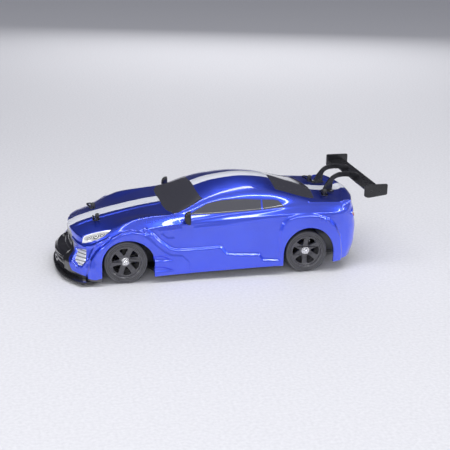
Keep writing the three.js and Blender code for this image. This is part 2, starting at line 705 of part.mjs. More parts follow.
function motorPinion() {
  const at = (x) => [x, MOTOR_Y, MOTOR_Z];
  return join(
    gear(GEAR_X - 2.6, GEAR_X + 2.6, MOTOR_Y, MOTOR_Z, PINION_TEETH, MESH_ANGLE + Math.PI),
    rod(at(GEAR_X - 3.4), at(-41), 1.1),
  );
}

// ---- electrics and steering gear ---------------------------------------------------------------------
const HORN = { x: FRONT_X - 2 * STEER_ARM, y: 14 };
const BAR_X = FRONT_X - STEER_ARM;
const STEER_PIN_Y = KINGPIN_Y - 9.6;

function steeringServo() {
  return join(
    box(45, 66, 7, 21, DECK_Z, 23.4),
    box(41.6, 69.4, 9, 19, 16, 18.4), // fixing ears
    rod([HORN.x, HORN.y, 23], [HORN.x, HORN.y, 24], 3.6),
  );
}

function servoHorn() {
  return join(
    rod([HORN.x, HORN.y, 24.3], [HORN.x, HORN.y, 26.6], 3.4),
    box(HORN.x, BAR_X, HORN.y - 1.7, HORN.y + 1.7, 24.4, 26.4),
    rod([BAR_X, HORN.y, 24.4], [BAR_X, HORN.y, 31], 1),
    rod([BAR_X, HORN.y, 24.4], [BAR_X, HORN.y, 26.4], 1.9),
  );
}

function steeringBar() {
  const bar = join(
    box(BAR_X - 1.8, BAR_X + 1.8, -STEER_PIN_Y - 1.8, STEER_PIN_Y + 1.8, 27.8, 30.3),
    box(BAR_X - 4.8, BAR_X + 3.6, HORN.y - 3.4, HORN.y + 3.4, 27.8, 30.3),
    rod([BAR_X, STEER_PIN_Y, 18.6], [BAR_X, STEER_PIN_Y, 28.4], 0.8),
    rod([BAR_X, -STEER_PIN_Y, 18.6], [BAR_X, -STEER_PIN_Y, 28.4], 0.8),
  );
  return cut(bar, box(BAR_X - 3.4, BAR_X + 1.8, HORN.y - 1.45, HORN.y + 1.45, 27, 31));
}

function controlBox() {
  return join(
    box(2, 58, -41, -7, DECK_Z, 19),
    box(6, 24, -36, -14, 19, 21.5), // heat sink
    rod([50, -34, 18], [50, -34, 46], 1.2), // aerial tube
  );
}

function batteryPack() {
  return join(
    box(-39, 29, 8.6, 42.4, DECK_Z, 22),
    box(-39, 29, 12, 39, 21, 24.6),
    box(28, 31.4, 12, 20, 12, 18), // plug
  );
}

function mistTank() {
  const pipes = [13, -13].map((y) =>
    join(rod([-128, y, 22], [-136, y, 21], 2.4), rod([-134, y, 21.2], [-137.4, y, 20.8], 3.8)),
  );
  return join(
    box(-131, -107.6, -18, 18, DECK_Z, 33),
    rod([-122, 0, 32], [-122, 0, 38], 5), // filler cap
    ...pipes,
  );
}

// Bent-wire body clip through a post's cross hole; it pulls out sideways.
function bodyClip(post) {
  const z = post.z - 3.6;
  const [x, y] = [post.x, post.y];
  const points = [
    [x, y - 4.6, z], [x, y, z], [x, y + 4.6, z], [x - 0.4, y + 7.6, z], [x + 1.6, y + 10.2, z],
    [x + 4.4, y + 9.4, z], [x + 4.8, y + 6.6, z], [x + 3.4, y + 3.4, z], [x + 3.9, y + 1, z],
    [x + 3.5, y - 1.4, z], [x + 3.3, y - 3.4, z], [x + 3.9, y - 4.8, z],
  ];
  return wire(points, 0.62, 26);
}

// ---- assembly ------------------------------------------------------------------------------------
const PAINTS = {
  shell: { color: 0x1426c8, roughness: 0.15, metalness: 0.2 },
  gloss: { color: 0x111114, roughness: 0.25, metalness: 0 },
  plastic: { color: 0x1b1b1d, roughness: 0.55, metalness: 0 },
  tyre: { color: 0x232326, roughness: 0.7, metalness: 0 },
  rim: { color: 0x26262b, roughness: 0.3, metalness: 0.1 },
  steel: { color: 0xc4c6ca, roughness: 0.25, metalness: 1 },
  spring: { color: 0xb8bac0, roughness: 0.3, metalness: 1 },
  gear: { color: 0xe8e6dc, roughness: 0.45, metalness: 0 },
  electronics: { color: 0x2a2c30, roughness: 0.5, metalness: 0 },
  battery: { color: 0x2058c8, roughness: 0.35, metalness: 0 },
  tank: { color: 0x24272a, roughness: 0.25, metalness: 0 },
  foam: { color: 0x18181a, roughness: 0.95, metalness: 0 },
};

const car = new THREE.Group();
const layout = new THREE.Group();
layout.position.x = FRAME_SHIFT;
car.add(layout);

// A group inside the layout at station x, mirrored for the right-hand side.
function station(x, side) {
  const group = new THREE.Group();
  group.position.x = x;
  group.scale.y = side;
  layout.add(group);
  return group;
}

function add(name, paint, solid, group = layout) {
  const mesh = new THREE.Mesh(toGeometry(solid), new THREE.MeshStandardMaterial(PAINTS[paint]));
  mesh.name = name;
  group.add(mesh);
}

add("body_shell", "shell", bodyShell());
add("front_lip", "gloss", frontLip());
add("wing_blade", "gloss", wingBlade());
add("chassis_tub", "plastic", chassisTub());
add("battery_door", "plastic", batteryDoor());
add("power_switch", "gloss", powerSwitch());
add("front_gearbox", "plastic", gearbox(FRONT_X, 1));
add("rear_gearbox", "plastic", gearbox(REAR_X, -1));
add("front_tower", "plastic", tower(FRONT_X, 1, FRONT_POST, 33));
add("rear_tower", "plastic", tower(REAR_X, -1, REAR_POST, 39));
add("bumper_foam", "foam", bumperFoam());
add("motor", "steel", motor());
add("motor_pinion", "steel", motorPinion());
add("centre_shaft", "gear", centreShaft());
add("steering_servo", "electronics", steeringServo());
add("servo_horn", "plastic", servoHorn());
add("steering_bar", "plastic", steeringBar());
add("control_box", "electronics", controlBox());
add("battery_pack", "battery", batteryPack());
add("mist_tank", "tank", mistTank());

for (const [hand, side] of [["left", 1], ["right", -1]]) {
  const beside = station(0, side);
  add(`wing_stay_${hand}`, "gloss", wingStay(), beside);
  add(`mirror_${hand}`, "gloss", mirror(), beside);
  add(`clip_front_${hand}`, "steel", bodyClip(FRONT_POST), beside);
  add(`clip_rear_${hand}`, "steel", bodyClip(REAR_POST), beside);
  for (const [end, axleX, out] of [["front", FRONT_X, 1], ["rear", REAR_X, -1]]) {
    const corner = station(axleX, side);
    add(`tyre_${end}_${hand}`, "tyre", tyre(), corner);
    add(`rim_${end}_${hand}`, "rim", rim(SPOKE_TURN[end]), corner);
    add(`axle_${end}_${hand}`, "steel", out > 0 ? frontAxle() : rearAxle(), corner);
    add(`arm_${end}_${hand}`, "plastic", out > 0 ? frontArm() : rearArm(), corner);
    add(`shock_body_${end}_${hand}`, "plastic", shockBody(out * SHOCK_DX), corner);
    add(`shock_rod_${end}_${hand}`, "steel", shockRod(out * SHOCK_DX), corner);
    add(`spring_${end}_${hand}`, "spring", spring(out * SHOCK_DX), corner);
  }
  const frontCorner = station(FRONT_X, side);
  add(`knuckle_${hand}`, "plastic", frontKnuckle(), frontCorner);
  add(`half_shaft_${hand}`, "steel", halfShaft(), frontCorner);
}

export default car;
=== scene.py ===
"""Looks of a 1:16 radio-controlled drift car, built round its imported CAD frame.

Pieces are drawn in millimetres with x = 0 midway between the axles, then moved to the CAD frame in metres.
"""
import json
import math

import bpy
import numpy as np
from mathutils import Matrix, Vector


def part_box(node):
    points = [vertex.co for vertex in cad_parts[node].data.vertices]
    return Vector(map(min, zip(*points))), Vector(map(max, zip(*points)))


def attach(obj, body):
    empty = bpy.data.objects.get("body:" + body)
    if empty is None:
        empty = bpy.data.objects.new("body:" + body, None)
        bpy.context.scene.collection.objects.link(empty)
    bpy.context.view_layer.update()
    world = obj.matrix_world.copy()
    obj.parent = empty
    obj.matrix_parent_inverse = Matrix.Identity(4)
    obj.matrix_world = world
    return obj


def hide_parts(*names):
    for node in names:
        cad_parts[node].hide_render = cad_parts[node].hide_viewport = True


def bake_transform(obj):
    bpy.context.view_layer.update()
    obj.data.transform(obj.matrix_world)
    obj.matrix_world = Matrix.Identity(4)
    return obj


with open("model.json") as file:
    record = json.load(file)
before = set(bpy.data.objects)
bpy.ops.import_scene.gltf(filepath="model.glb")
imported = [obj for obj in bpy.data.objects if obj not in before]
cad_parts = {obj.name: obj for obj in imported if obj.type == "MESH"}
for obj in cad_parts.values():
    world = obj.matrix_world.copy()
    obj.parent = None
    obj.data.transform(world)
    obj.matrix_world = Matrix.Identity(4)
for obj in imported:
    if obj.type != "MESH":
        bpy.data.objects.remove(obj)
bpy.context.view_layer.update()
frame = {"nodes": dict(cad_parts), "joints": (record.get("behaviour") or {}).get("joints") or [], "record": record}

# ---- driving dimensions, millimetres
MM = 0.001
JOINTS = {joint["name"]: joint for joint in frame["joints"]}
FRONT_PIVOT = JOINTS["wheel_spin_front_left"]["pos_m"]
REAR_PIVOT = JOINTS["wheel_spin_rear_left"]["pos_m"]
SHIFT = (FRONT_PIVOT[0] + REAR_PIVOT[0]) / 2 / MM
FRONT_X = FRONT_PIVOT[0] / MM - SHIFT
REAR_X = REAR_PIVOT[0] / MM - SHIFT
AXLE_Z = FRONT_PIVOT[2] / MM
TYRE_LOW, TYRE_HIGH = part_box("tyre_front_left")
TYRE_R = (TYRE_HIGH.z - TYRE_LOW.z) / 2 / MM
TYRE_OUT, TYRE_IN = TYRE_HIGH.y / MM, TYRE_LOW.y / MM
RIM_R = TYRE_R - 5.0
# Distances from the centreline along the axles: hub, drive hexagon, nut flange, nut and shaft end.
HUB_IN, DRIVE_IN, FLANGE_IN, NUT_IN, SHAFT_OUT = 49.6, 46.9, 52.9, 53.6, 55.4
SHAFT_IN = {"front": 42.2, "rear": 8.4}
SPOKES = 6
SPOKE_TURN = {"front": -8.0, "rear": 33.0}
ROUND = 96
SIDES = (("left", 1), ("right", -1))
ENDS = (("front", FRONT_X), ("rear", REAR_X))
FRONT_POST = (108.0, 17.0, 57.0)
REAR_POST = (-113.5, 25.0, 72.4)
POST_R = 2.2
POST_GAP = 0.6
MIRROR = (29.3, 59.6, 61.4)
STALK_Z = 57.6

# ---- shell surface
# Each pair is a station along the car and a value there.
NOSE_X, TAIL_X = 134.0, -141.0
NOSE_SWEEP, TAIL_SWEEP, SWEEP_REACH = 18.0, 14.0, 45.0
SHELL_WALL = 1.4
CELL = 0.75
HALF_GIRTH, WALL_HEIGHT = 68.0, 46.0
CORNER_EASE, EASING_ROUNDS = 9.0, 10
PULL = 0.42


def cubic(t, start, start_slope, end, end_slope):
    """A smooth way from start to end while t goes from 0 to 1."""
    low = (2 * t**3 - 3 * t**2 + 1) * start + (t**3 - 2 * t**2 + t) * start_slope
    return low + (3 * t**2 - 2 * t**3) * end + (t**3 - t**2) * end_slope


def smooth_line(pairs):
    """A curve through the pairs that never overshoots them."""
    xs, ys = np.array(sorted(pairs), float).T
    slopes = np.diff(ys) / np.diff(xs)
    a, b = slopes[:-1], slopes[1:]
    total = np.where(a * b > 0, a + b, 1.0)
    middle = np.where(a * b > 0, 2 * a * b / total, 0.0)
    tangents = np.concatenate([slopes[:1], middle, slopes[-1:]])

    def at(x):
        x = np.clip(np.asarray(x, float), xs[0], xs[-1])
        i = np.clip(np.searchsorted(xs, x, side="right") - 1, 0, len(xs) - 2)
        h = xs[i + 1] - xs[i]
        return cubic((x - xs[i]) / h, ys[i], h * tangents[i], ys[i + 1], h * tangents[i + 1])

    return at


centre_z = smooth_line([
    (134, 43.5), (126, 46.5), (112, 50.5), (87, 56.3), (62, 60.8), (46, 63.2), (30, 70.8), (14, 78.2),
    (-6, 83.6), (-31, 86), (-50, 84.4), (-66, 80.6), (-88, 73.2), (-106, 67.6), (-124, 66), (-141, 67.5),
])
rail_y = smooth_line([
    (134, 18), (112, 24), (87, 28), (62, 35), (46, 42), (30, 41.5), (14, 41), (-31, 40), (-66, 37),
    (-88, 34), (-106, 31), (-141, 31),
])
rail_z = smooth_line([
    (134, 43.2), (112, 49.8), (87, 55.4), (62, 60.4), (46, 61.8), (30, 66.5), (14, 72.4), (-6, 76.6),
    (-31, 78.4), (-50, 77.4), (-66, 74.8), (-88, 70), (-106, 66.8), (-124, 65.6), (-141, 67),
])
belt_y = smooth_line([
    (134, 36), (126, 41), (112, 45), (87, 47), (62, 47.5), (46, 49), (14, 50), (-31, 50), (-66, 49),
    (-88, 48), (-106, 47), (-141, 46),
])
belt_z = smooth_line([
    (134, 42), (126, 43.6), (112, 46.5), (97, 51.6), (87, 55.6), (77, 58.6), (62, 60.3), (46, 61),
    (14, 62.2), (-31, 63.6), (-66, 65.2), (-88, 66.4), (-106, 65.8), (-124, 65), (-141, 66),
])
shoulder_y = smooth_line([
    (134, 50), (126, 53.5), (112, 57), (98, 58), (87, 58.5), (72, 58), (55, 56.2), (30, 55.6),
    (-30, 55.6), (-60, 56.6), (-75, 59), (-90, 60), (-112, 58.6), (-130, 55.5), (-141, 52.5),
])
shoulder_z = smooth_line([
    (134, 39.5), (126, 40.5), (112, 43), (98, 47), (87, 50), (72, 51.5), (55, 52.8), (30, 54.6),
    (-30, 57), (-60, 58.6), (-80, 59.8), (-95, 59.6), (-115, 58.4), (-141, 58),
])
sill_z = smooth_line([(145, 5), (113, 5), (59, 7), (-63, 9.5), (-113, 11), (-145, 14)])
side_out = smooth_line([(0, 0), (0.25, 1.1), (0.5, 1.7), (0.75, 2.2), (1, 2)])
nose_out = smooth_line([(0, 0), (0.25, 3), (0.5, 6), (0.75, 9), (1, 10)])
# The black middle of the nose steps out below the grille, on top of nose_out.
chin_out = smooth_line([
    (0, 0), (0.15, -2), (0.34, -4.6), (0.43, -3.9), (0.5, -1.2), (0.57, 3.4), (0.68, 4.8), (0.84, 3), (1, 1),
])
tail_out = smooth_line([(0, 0), (0.25, 3), (0.5, 5.5), (0.75, 5), (1, 1)])


def sweep_back(x, v):
    """How far the corners are pulled towards the middle of the car, at share v of the half width."""
    front = np.maximum(0, 1 - (NOSE_X - x) / SWEEP_REACH) ** 1.5
    rear = np.maximum(0, 1 - (x - TAIL_X) / SWEEP_REACH) ** 1.5
    return TAIL_SWEEP * rear * np.abs(v) ** 1.3 - NOSE_SWEEP * front * np.abs(v) ** 2.2


def upper_points(x, v):
    """The surface above the shoulders: v runs from -1 at the right shoulder to 1 at the left one."""
    rail, belt, shoulder = (
        np.stack([y(x), z(x)], -1) for y, z in ((rail_y, rail_z), (belt_y, belt_z), (shoulder_y, shoulder_z))
    )
    centre = np.stack([0 * x, centre_z(x)], -1)
    knots = np.array([rail * (-1, 1), centre, rail, belt, shoulder, 2 * shoulder - belt])
    along = np.abs(v) * 3
    span = np.minimum(np.floor(along).astype(int), 2)
    t = (along - span)[..., None]

    def knot(k):
        return np.take_along_axis(knots, (span + k)[None, ..., None], 0)[0]

    slopes = (knot(2) - knot(0)) * PULL, (knot(3) - knot(1)) * PULL
    section = cubic(t, knot(1), slopes[0], knot(2), slopes[1])
    return np.stack([x + sweep_back(x, v), np.sign(v) * section[..., 0], section[..., 1]], -1)


def outward_normals(loop):
    """Plan normals of the closed shoulder line, eased round its four corners."""
    step = np.roll(loop, -1, 0) - np.roll(loop, 1, 0)
    normals = np.stack([step[:, 1], -step[:, 0]], -1)
    normals /= np.linalg.norm(normals, axis=1, keepdims=True)
    reach = int(CORNER_EASE / CELL)
    weights = np.cos(np.linspace(-1, 1, 2 * reach + 1) * math.pi / 2) ** 2
    eased = sum(w * np.roll(normals, k, 0) for k, w in zip(range(-reach, reach + 1), weights))
    return eased / np.linalg.norm(eased, axis=1, keepdims=True)


def shell_grid():
    """Outer surface as points, quads and its lower rim: an upper sheet, and walls hung from its edge."""
    stations = np.linspace(NOSE_X, TAIL_X, int((NOSE_X - TAIL_X) / CELL) + 1)
    across = np.linspace(-1, 1, 2 * int(HALF_GIRTH / CELL) + 1)
    x, v = np.meshgrid(stations, across, indexing="ij")
    top = upper_points(x, v)
    rows, columns = x.shape
    index = np.arange(rows * columns).reshape(rows, columns)
    quads = [np.stack([index[:-1, :-1], index[:-1, 1:], index[1:, 1:], index[1:, :-1]], -1).reshape(-1, 4)]
    edge = np.concatenate([index[0], index[1:, -1], index[-1, -2::-1], index[-2:0:-1, 0]])
    loop = top.reshape(-1, 3)[edge]
    normals = outward_normals(loop[:, :2])
    levels = int(WALL_HEIGHT / CELL)
    points = [top.reshape(-1, 3)]
    upper = edge
    for level in range(1, levels + 1):
        t = level / levels
        side = side_out(t)
        end = np.where(normals[:, 0] > 0, nose_out(t), tail_out(t))
        out = side + (end - side) * normals[:, 0] ** 2
        out += chin_out(t) * np.maximum(normals[:, 0], 0) ** 9
        height = loop[:, 2] + (sill_z(loop[:, 0]) - loop[:, 2]) * t
        points.append(np.column_stack([loop[:, :2] + normals * out[:, None], height]))
        lower = rows * columns + (level - 1) * len(edge) + np.arange(len(edge))
        quads.append(np.stack([upper, lower, np.roll(lower, -1), np.roll(upper, -1)], -1))
        upper = lower
    return np.concatenate(points), np.concatenate(quads), upper


def edges_of(quads):
    return np.concatenate([quads[:, [k, (k + 1) % 4]] for k in range(4)])


def relaxed(points, quads, fixed, rounds):
    """Eases creases by moving each point towards the mean of its neighbours."""
    edges = edges_of(quads)
    a, b = np.concatenate([edges, edges[:, ::-1]]).T
    count = np.bincount(a, minlength=len(points))
    free = np.ones(len(points), bool)
    free[fixed] = False
    for _ in range(rounds):
        total = np.column_stack([np.bincount(a, points[b, k], len(points)) for k in range(3)])
        points = np.where(free[:, None], (points + total / count[:, None]) / 2, points)
    return points


def point_normals(points, quads):
    face = np.cross(points[quads[:, 2]] - points[quads[:, 0]], points[quads[:, 3]] - points[quads[:, 1]])
    normals = np.column_stack([
        np.bincount(quads.ravel(), np.repeat(face[:, k], 4), len(points)) for k in range(3)
    ])
    return normals / np.maximum(np.linalg.norm(normals, axis=1, keepdims=True), 1e-9)


# ---- outlines on the shell
# Outlines seen from above are (x, distance from the centreline), and seen from the side (x, z).
WINDSCREEN = [
    (46.5, -1), (46.8, 18), (45.5, 34), (41, 46), (36, 46.6), (29.6, 44.8), (19.8, 42.4), (12.3, 39.2),
    (13.8, 28.3), (14.5, 17.4), (14.5, -1),
]
REAR_WINDOW = [
    (-60.5, -1), (-60.5, 33), (-75, 34.8), (-95, 38.2), (-99, 35.5), (-102.5, 16), (-103.5, -1),
]
SIDE_WINDOW = [
    (26.6, 61.6), (18.3, 65.9), (10, 70), (2.5, 71.8), (-6.5, 72.9), (-17, 73.2), (-28.5, 72.9),
    (-42.5, 71.7), (-55.5, 70.8), (-60, 69.8), (-64, 66.3), (-65.8, 64.4), (-43, 62.9), (-16, 62),
    (10, 61.4),
]
HEADLAMP = [
    (125.4, 39.9), (122.6, 39.5), (116, 40.3), (109.5, 41.8), (104.7, 43.7), (98.8, 47.4), (103.4, 49.8),
    (107.4, 51.1), (112.3, 51.2), (117.1, 49), (122.4, 43.9),
]
LENSES = ((119.0, 44.2, 1.9), (113.0, 46.3, 2.7), (107.6, 47.4, 2.1))
# Seen from the front or the back they are (distance from the centreline, z).
FASCIA = [(-1, 41.2), (16.5, 40.8), (22.5, 34.9), (29, 26.6), (36, 17.9), (39.5, 9.3), (40, 0), (-1, 0)]
GRILLE = [(-1, 36.5), (15, 36), (23, 27), (25, 22.5), (-1, 22)]
INTAKE = [(-1, 19), (26, 19.5), (31, 12.5), (30, 9.5), (-1, 9)]
TAIL_LAMP = [(20, 58.5), (45, 57.5), (49, 54), (47, 50.5), (22, 51.5)]
PLATE_RECESS = [(-1, 47), (19, 47), (19, 37), (-1, 37)]
DIFFUSER = [(-1, 27), (33, 27), (38, 22), (41, 0), (-1, 0)]
# Round the bumper corner they are (run round the corner, z).
CORNER_LAMP = [(0.7, 30.5), (18.6, 34), (20.6, 21), (17.4, 15.2), (10.9, 14.8), (4.1, 19.6)]
SLATS = [(3.5, 29), (17, 31.6), (18.6, 21.4), (15.6, 17), (11.6, 16.8), (6, 20.8)]
BUMPER_RIDGES = (
    [(-8, 36), (6, 34.6), (17.5, 34.4), (24, 36.6), (29.3, 38.9), (37, 44)],
    [(29.3, 38.9), (25.2, 30), (22.2, 22)],
)
# Panels, slots and ridges of the sides.
FRONT_FLARE = [
    (123, 0), (122, 12), (119, 24), (114, 32.5), (109.5, 37.6), (105.6, 41.1), (99.6, 45.6), (91, 50.2),
    (81.4, 51.8), (71.6, 50), (65.5, 45.3), (57.2, 36.9), (50, 31.2), (44.5, 28), (34, 26.8), (27, 20),
    (24, 0),
]
REAR_FLARE = [
    (-57.6, 0), (-58.2, 18.2), (-58.9, 30.4), (-59.2, 44), (-62, 51.5), (-67.3, 56.4), (-75.6, 58.8),
    (-86.9, 59.4), (-95.9, 58.4), (-101, 56.6), (-107, 54), (-114, 47), (-119.5, 36), (-122, 20), (-122, 0),
]
SKIRT = [
    (75, 44), (68.5, 48.5), (62.6, 47), (55.8, 40), (46, 32.3), (41, 30.6), (20, 30.8), (2, 31.4),
    (-2.4, 31.4), (-8.4, 24), (-21.5, 22.6), (-39.5, 21.6), (-44, 15.8), (-58, 15), (-70, 15), (-70, -2),
    (75, -2),
]
SLOTS = ([(61, 26.8), (53, 25.6), (44, 21.4), (61, 21.9)], [(61, 16), (53, 15.6), (43, 11.6), (61, 11.4)])
# Each panel's outline, how far in its step starts, how far it stands out, and the step's width.
SIDE_PANELS = ((SKIRT, 0, 2.4, 2.8), (FRONT_FLARE, 0.6, 2.9, 3.2), (REAR_FLARE, 0.8, 2.7, 3.4))
# Each ridge's line, height and width.
SIDE_RIDGES = (
    ([(69, 51.8), (62.6, 47), (55.8, 40), (46, 32.3), (40, 30.5)], 1.3, 1.3),
    ([(34, 56.6), (17, 57.8), (-10.5, 60.4), (-45, 62.2), (-76, 65), (-88, 66)], 0.45, 1.1),
    ([(22, 50.3), (-4, 51.6), (-27, 54.2), (-44, 55.5), (-66, 57.2)], 0.35, 1.2),
    ([(55, 49.6), (46, 49.7), (36, 50.6)], 0.6, 1.0),
    ([(53, 45.6), (51, 43.4), (47.6, 41.2), (42.5, 41.6)], 0.6, 0.8),
)
RIVETS = ((-101.2, 55.4), (-106.3, 53.2))
STRIPE_HALF, STRIPE_FRONT = 8.3, 125
WINDOW_POST_X, WINDOW_POST_HALF = -43.6, 0.8
LAMP_FLOOR_X, LAMP_FLOOR_Z, LAMP_FLOOR_CLIMB = 122.4, 37.4, 0.48
SLAT_PITCH, SLAT_Z = 2.9, 16.8
FIN_PITCH, FIN_HALF, FIN_TOP = 9.0, 1.1, 17.0
# The bumper corner's line in plan: a point on it and its direction.
CORNER_X, CORNER_Y, CORNER_AHEAD, CORNER_OUT = 133, 32, -0.612, 0.79
# Where the nose, the lamps, the boot lid, the tail and its outlets lie along the car.
NOSE_FROM, LAMPS_FROM, LID_FROM, TAIL_FROM, OUTLETS_FROM = 100, 90, -90, -120, -130
HOOD_REAR, HOOD_FRONT, BULGE_HALF, BULGE_FLARE = 47, 128, 13.5, 0.02
LID_CREASE = [(-90, 47), (-140, 45)]
# Depths and heights of relief.
SLOT_DEPTH, RIVET_HEIGHT, LAMP_DEPTH, LENS_HEIGHT, GLASS_DEPTH = 1.5, 0.5, 1.3, 0.8, 0.35
SLAT_HEIGHT, BUMPER_RIDGE, LAMP_FRAME, GRILLE_RIM, GRILLE_DEPTH, BAR_HEIGHT = 0.7, 1.1, 0.6, 0.7, 1.9, 1.1
BULGE_HEIGHT, SPOILER_HEIGHT, CREASE_HEIGHT = 0.7, 0.8, 0.35
TAIL_RIM, DIFFUSER_DEPTH, FIN_HEIGHT = 0.9, 1.8, 2.4
# A face looks up, ahead or back if its normal points that way by more than this.
FACING = 0.35
OUTLET_Y, OUTLET_Z, OUTLET_R = 13.0, 21.0, 4.2
bumper_edge = smooth_line([(136, 10), (130, 8.9), (125, 7.9), (120, 7.2), (115, 6.8), (110, 8.4), (106, 9.5)])
# Wheel openings: the axle, then how far the opening reaches ahead of, behind and above it.
ARCHES = ((FRONT_X, 22.8, 26.2, 23.0), (REAR_X, 24.2, 25.2, 26.2))
OUTSIDE = -9.0


def inside_distance(a, b, outline):
    """Distance from points (a, b) to a closed outline, positive inside it."""
    corners = np.array(outline, float)
    nearest = np.full(a.shape, 1e9)
    inside = np.zeros(a.shape, bool)
    for (xa, ya), (xb, yb) in zip(corners, np.roll(corners, -1, 0)):
        nearest = np.minimum(nearest, segment_distance(a, b, xa, ya, xb, yb))
        if ya != yb:
            crosses = (ya > b) != (yb > b)
            inside ^= crosses & (a < (xb - xa) * (b - ya) / (yb - ya) + xa)
    return np.where(inside, nearest, -nearest)


def segment_distance(a, b, xa, ya, xb, yb):
    dx, dy = xb - xa, yb - ya
    t = np.clip(((a - xa) * dx + (b - ya) * dy) / (dx * dx + dy * dy), 0, 1)
    return np.hypot(a - xa - t * dx, b - ya - t * dy)


def line_distance(a, b, points):
    pairs = zip(points, points[1:])
    return np.min([segment_distance(a, b, *p, *q) for p, q in pairs], axis=0)


def soft_step(distance, width):
    """0 well outside, 1 well inside, and a smooth ramp of the given width between."""
    t = np.clip(distance / width + 0.5, 0, 1)
    return t * t * (3 - 2 * t)


def bump_line(distance, width):
    return np.exp(-((distance / width) ** 2))


def corner_run(x, half):
    """How far round the bumper corner a point is, measured in plan."""
    return CORNER_AHEAD * (x - CORNER_X) + CORNER_OUT * (half - CORNER_Y)


def only(where, distance):
    """The distance where it counts, and well outside elsewhere."""
    return np.where(where, distance, OUTSIDE)


def zones(points, normals):
    """Signed distances, positive inside, to each area of the shell that has its own colour."""
    x, half, z = points[:, 0], np.abs(points[:, 1]), points[:, 2]
    top = normals[:, 2] > FACING
    side = (normals[:, 2] < 0.97) & (half > 36) & (z > 58)
    ahead = (normals[:, 0] > FACING) & (x > NOSE_FROM)
    behind = (normals[:, 0] < -FACING) & (x < TAIL_FROM)
    screens = np.maximum(inside_distance(x, half, WINDSCREEN), inside_distance(x, half, REAR_WINDOW))
    flank = only(side, inside_distance(x, z, SIDE_WINDOW))
    post = np.abs(x - WINDOW_POST_X) - WINDOW_POST_HALF
    fascia = only(ahead, inside_distance(half, z, FASCIA))
    diffuser = only(behind, inside_distance(half, z, DIFFUSER))
    chin = only(x > NOSE_FROM, bumper_edge(x) - z)
    lamp_floor = z - LAMP_FLOOR_Z - LAMP_FLOOR_CLIMB * (LAMP_FLOOR_X - x)
    lamp = np.minimum(inside_distance(x, half, HEADLAMP), lamp_floor)
    slats = inside_distance(corner_run(x, half), z, SLATS)
    lenses = [np.hypot(x - lens_x, half - lens_y) / lens_r for lens_x, lens_y, lens_r in LENSES]
    return {
        "glass": np.maximum(only(top, screens), np.minimum(flank, post)),
        "stripe": np.minimum(STRIPE_HALF - half, only(top | (x > STRIPE_FRONT), -OUTSIDE)),
        "black": np.max([fascia, chin, diffuser], axis=0),
        "lamp": only(x > LAMPS_FROM, lamp),
        "slats": only(ahead & (half > 30), slats),
        "tail": only(behind, inside_distance(half, z, TAIL_LAMP)),
        "lens": np.min(lenses, axis=0),
        "slat_wave": np.cos(2 * math.pi * (z - SLAT_Z) / SLAT_PITCH),
    }


def side_relief(x, z, normals):
    """Skirt, flares, ridges, slots and rivets of the sides."""
    out = np.max([
        height * soft_step(inside_distance(x, z, outline) - inset, step)
        for outline, inset, height, step in SIDE_PANELS
    ], axis=0)
    for line, height, width in SIDE_RIDGES:
        out += height * bump_line(line_distance(x, z, line), width)
    for slot in SLOTS:
        out -= SLOT_DEPTH * soft_step(inside_distance(x, z, slot), 1.3)
    for rivet_x, rivet_z in RIVETS:
        out += RIVET_HEIGHT * bump_line(np.hypot(x - rivet_x, z - rivet_z), 1.0)
    return out * soft_step(np.abs(normals[:, 1]) - 0.5, 0.4) * soft_step(66 - z, 6)


def nose_relief(x, half, z, normals, zone):
    """Bumper ridges, slatted corner panels, grille and intake."""
    front = soft_step(normals[:, 0] - FACING, 0.25) * (x > NOSE_FROM)
    corner = front * (half > 20)
    run = corner_run(x, half)
    out = SLAT_HEIGHT * corner * soft_step(zone["slats"], 1.0) * zone["slat_wave"]
    for ridge in BUMPER_RIDGES:
        out += BUMPER_RIDGE * corner * bump_line(line_distance(run, z, ridge), 1.2)
    frame_edge = inside_distance(run, z, CORNER_LAMP)
    out += corner * (LAMP_FRAME * bump_line(frame_edge, 1.0) - soft_step(frame_edge - 1.2, 1.2))
    bars = 0.5 + 0.5 * np.cos(2 * math.pi * z / SLAT_PITCH)
    for outline in (GRILLE, INTAKE):
        opening = inside_distance(half, z, outline)
        out += front * GRILLE_RIM * bump_line(opening, 1.0)
        out -= front * soft_step(opening - 0.6, 1.2) * (GRILLE_DEPTH - BAR_HEIGHT * bars)
    return out


def top_relief(x, half, normals):
    """Hood bulge, spoiler edge on the boot lid, and the lid's side creases."""
    hood = soft_step(x - HOOD_REAR, 3) * soft_step(HOOD_FRONT - x, 8)
    bulge_half = BULGE_HALF + (x - HOOD_REAR) * BULGE_FLARE
    out = BULGE_HEIGHT * hood * soft_step(bulge_half - half, 2.6)
    lid_edge = TAIL_X + TAIL_SWEEP * (half / 52.5) ** 1.3
    out += SPOILER_HEIGHT * soft_step(lid_edge + 5.5 - x, 2.5)
    out += CREASE_HEIGHT * (x < LID_FROM) * bump_line(line_distance(x, half, LID_CREASE), 1.2)
    return out * soft_step(normals[:, 2] - 0.6, 0.3)


def tail_relief(x, half, z, normals, zone):
    """Lamp rims, recessed panel and finned diffuser."""
    behind = soft_step(-normals[:, 0] - 0.45, 0.3) * (x < TAIL_FROM)
    out = TAIL_RIM * bump_line(zone["tail"], 1.0) - soft_step(inside_distance(half, z, PLATE_RECESS), 1.2)
    from_fin = np.abs((half + FIN_PITCH / 2) % FIN_PITCH - FIN_PITCH / 2)
    fins = soft_step(FIN_HALF - from_fin, 0.9) * soft_step(FIN_TOP - z, 2)
    out -= soft_step(inside_distance(half, z, DIFFUSER), 1.2) * (DIFFUSER_DEPTH - FIN_HEIGHT * fins)
    return out * behind


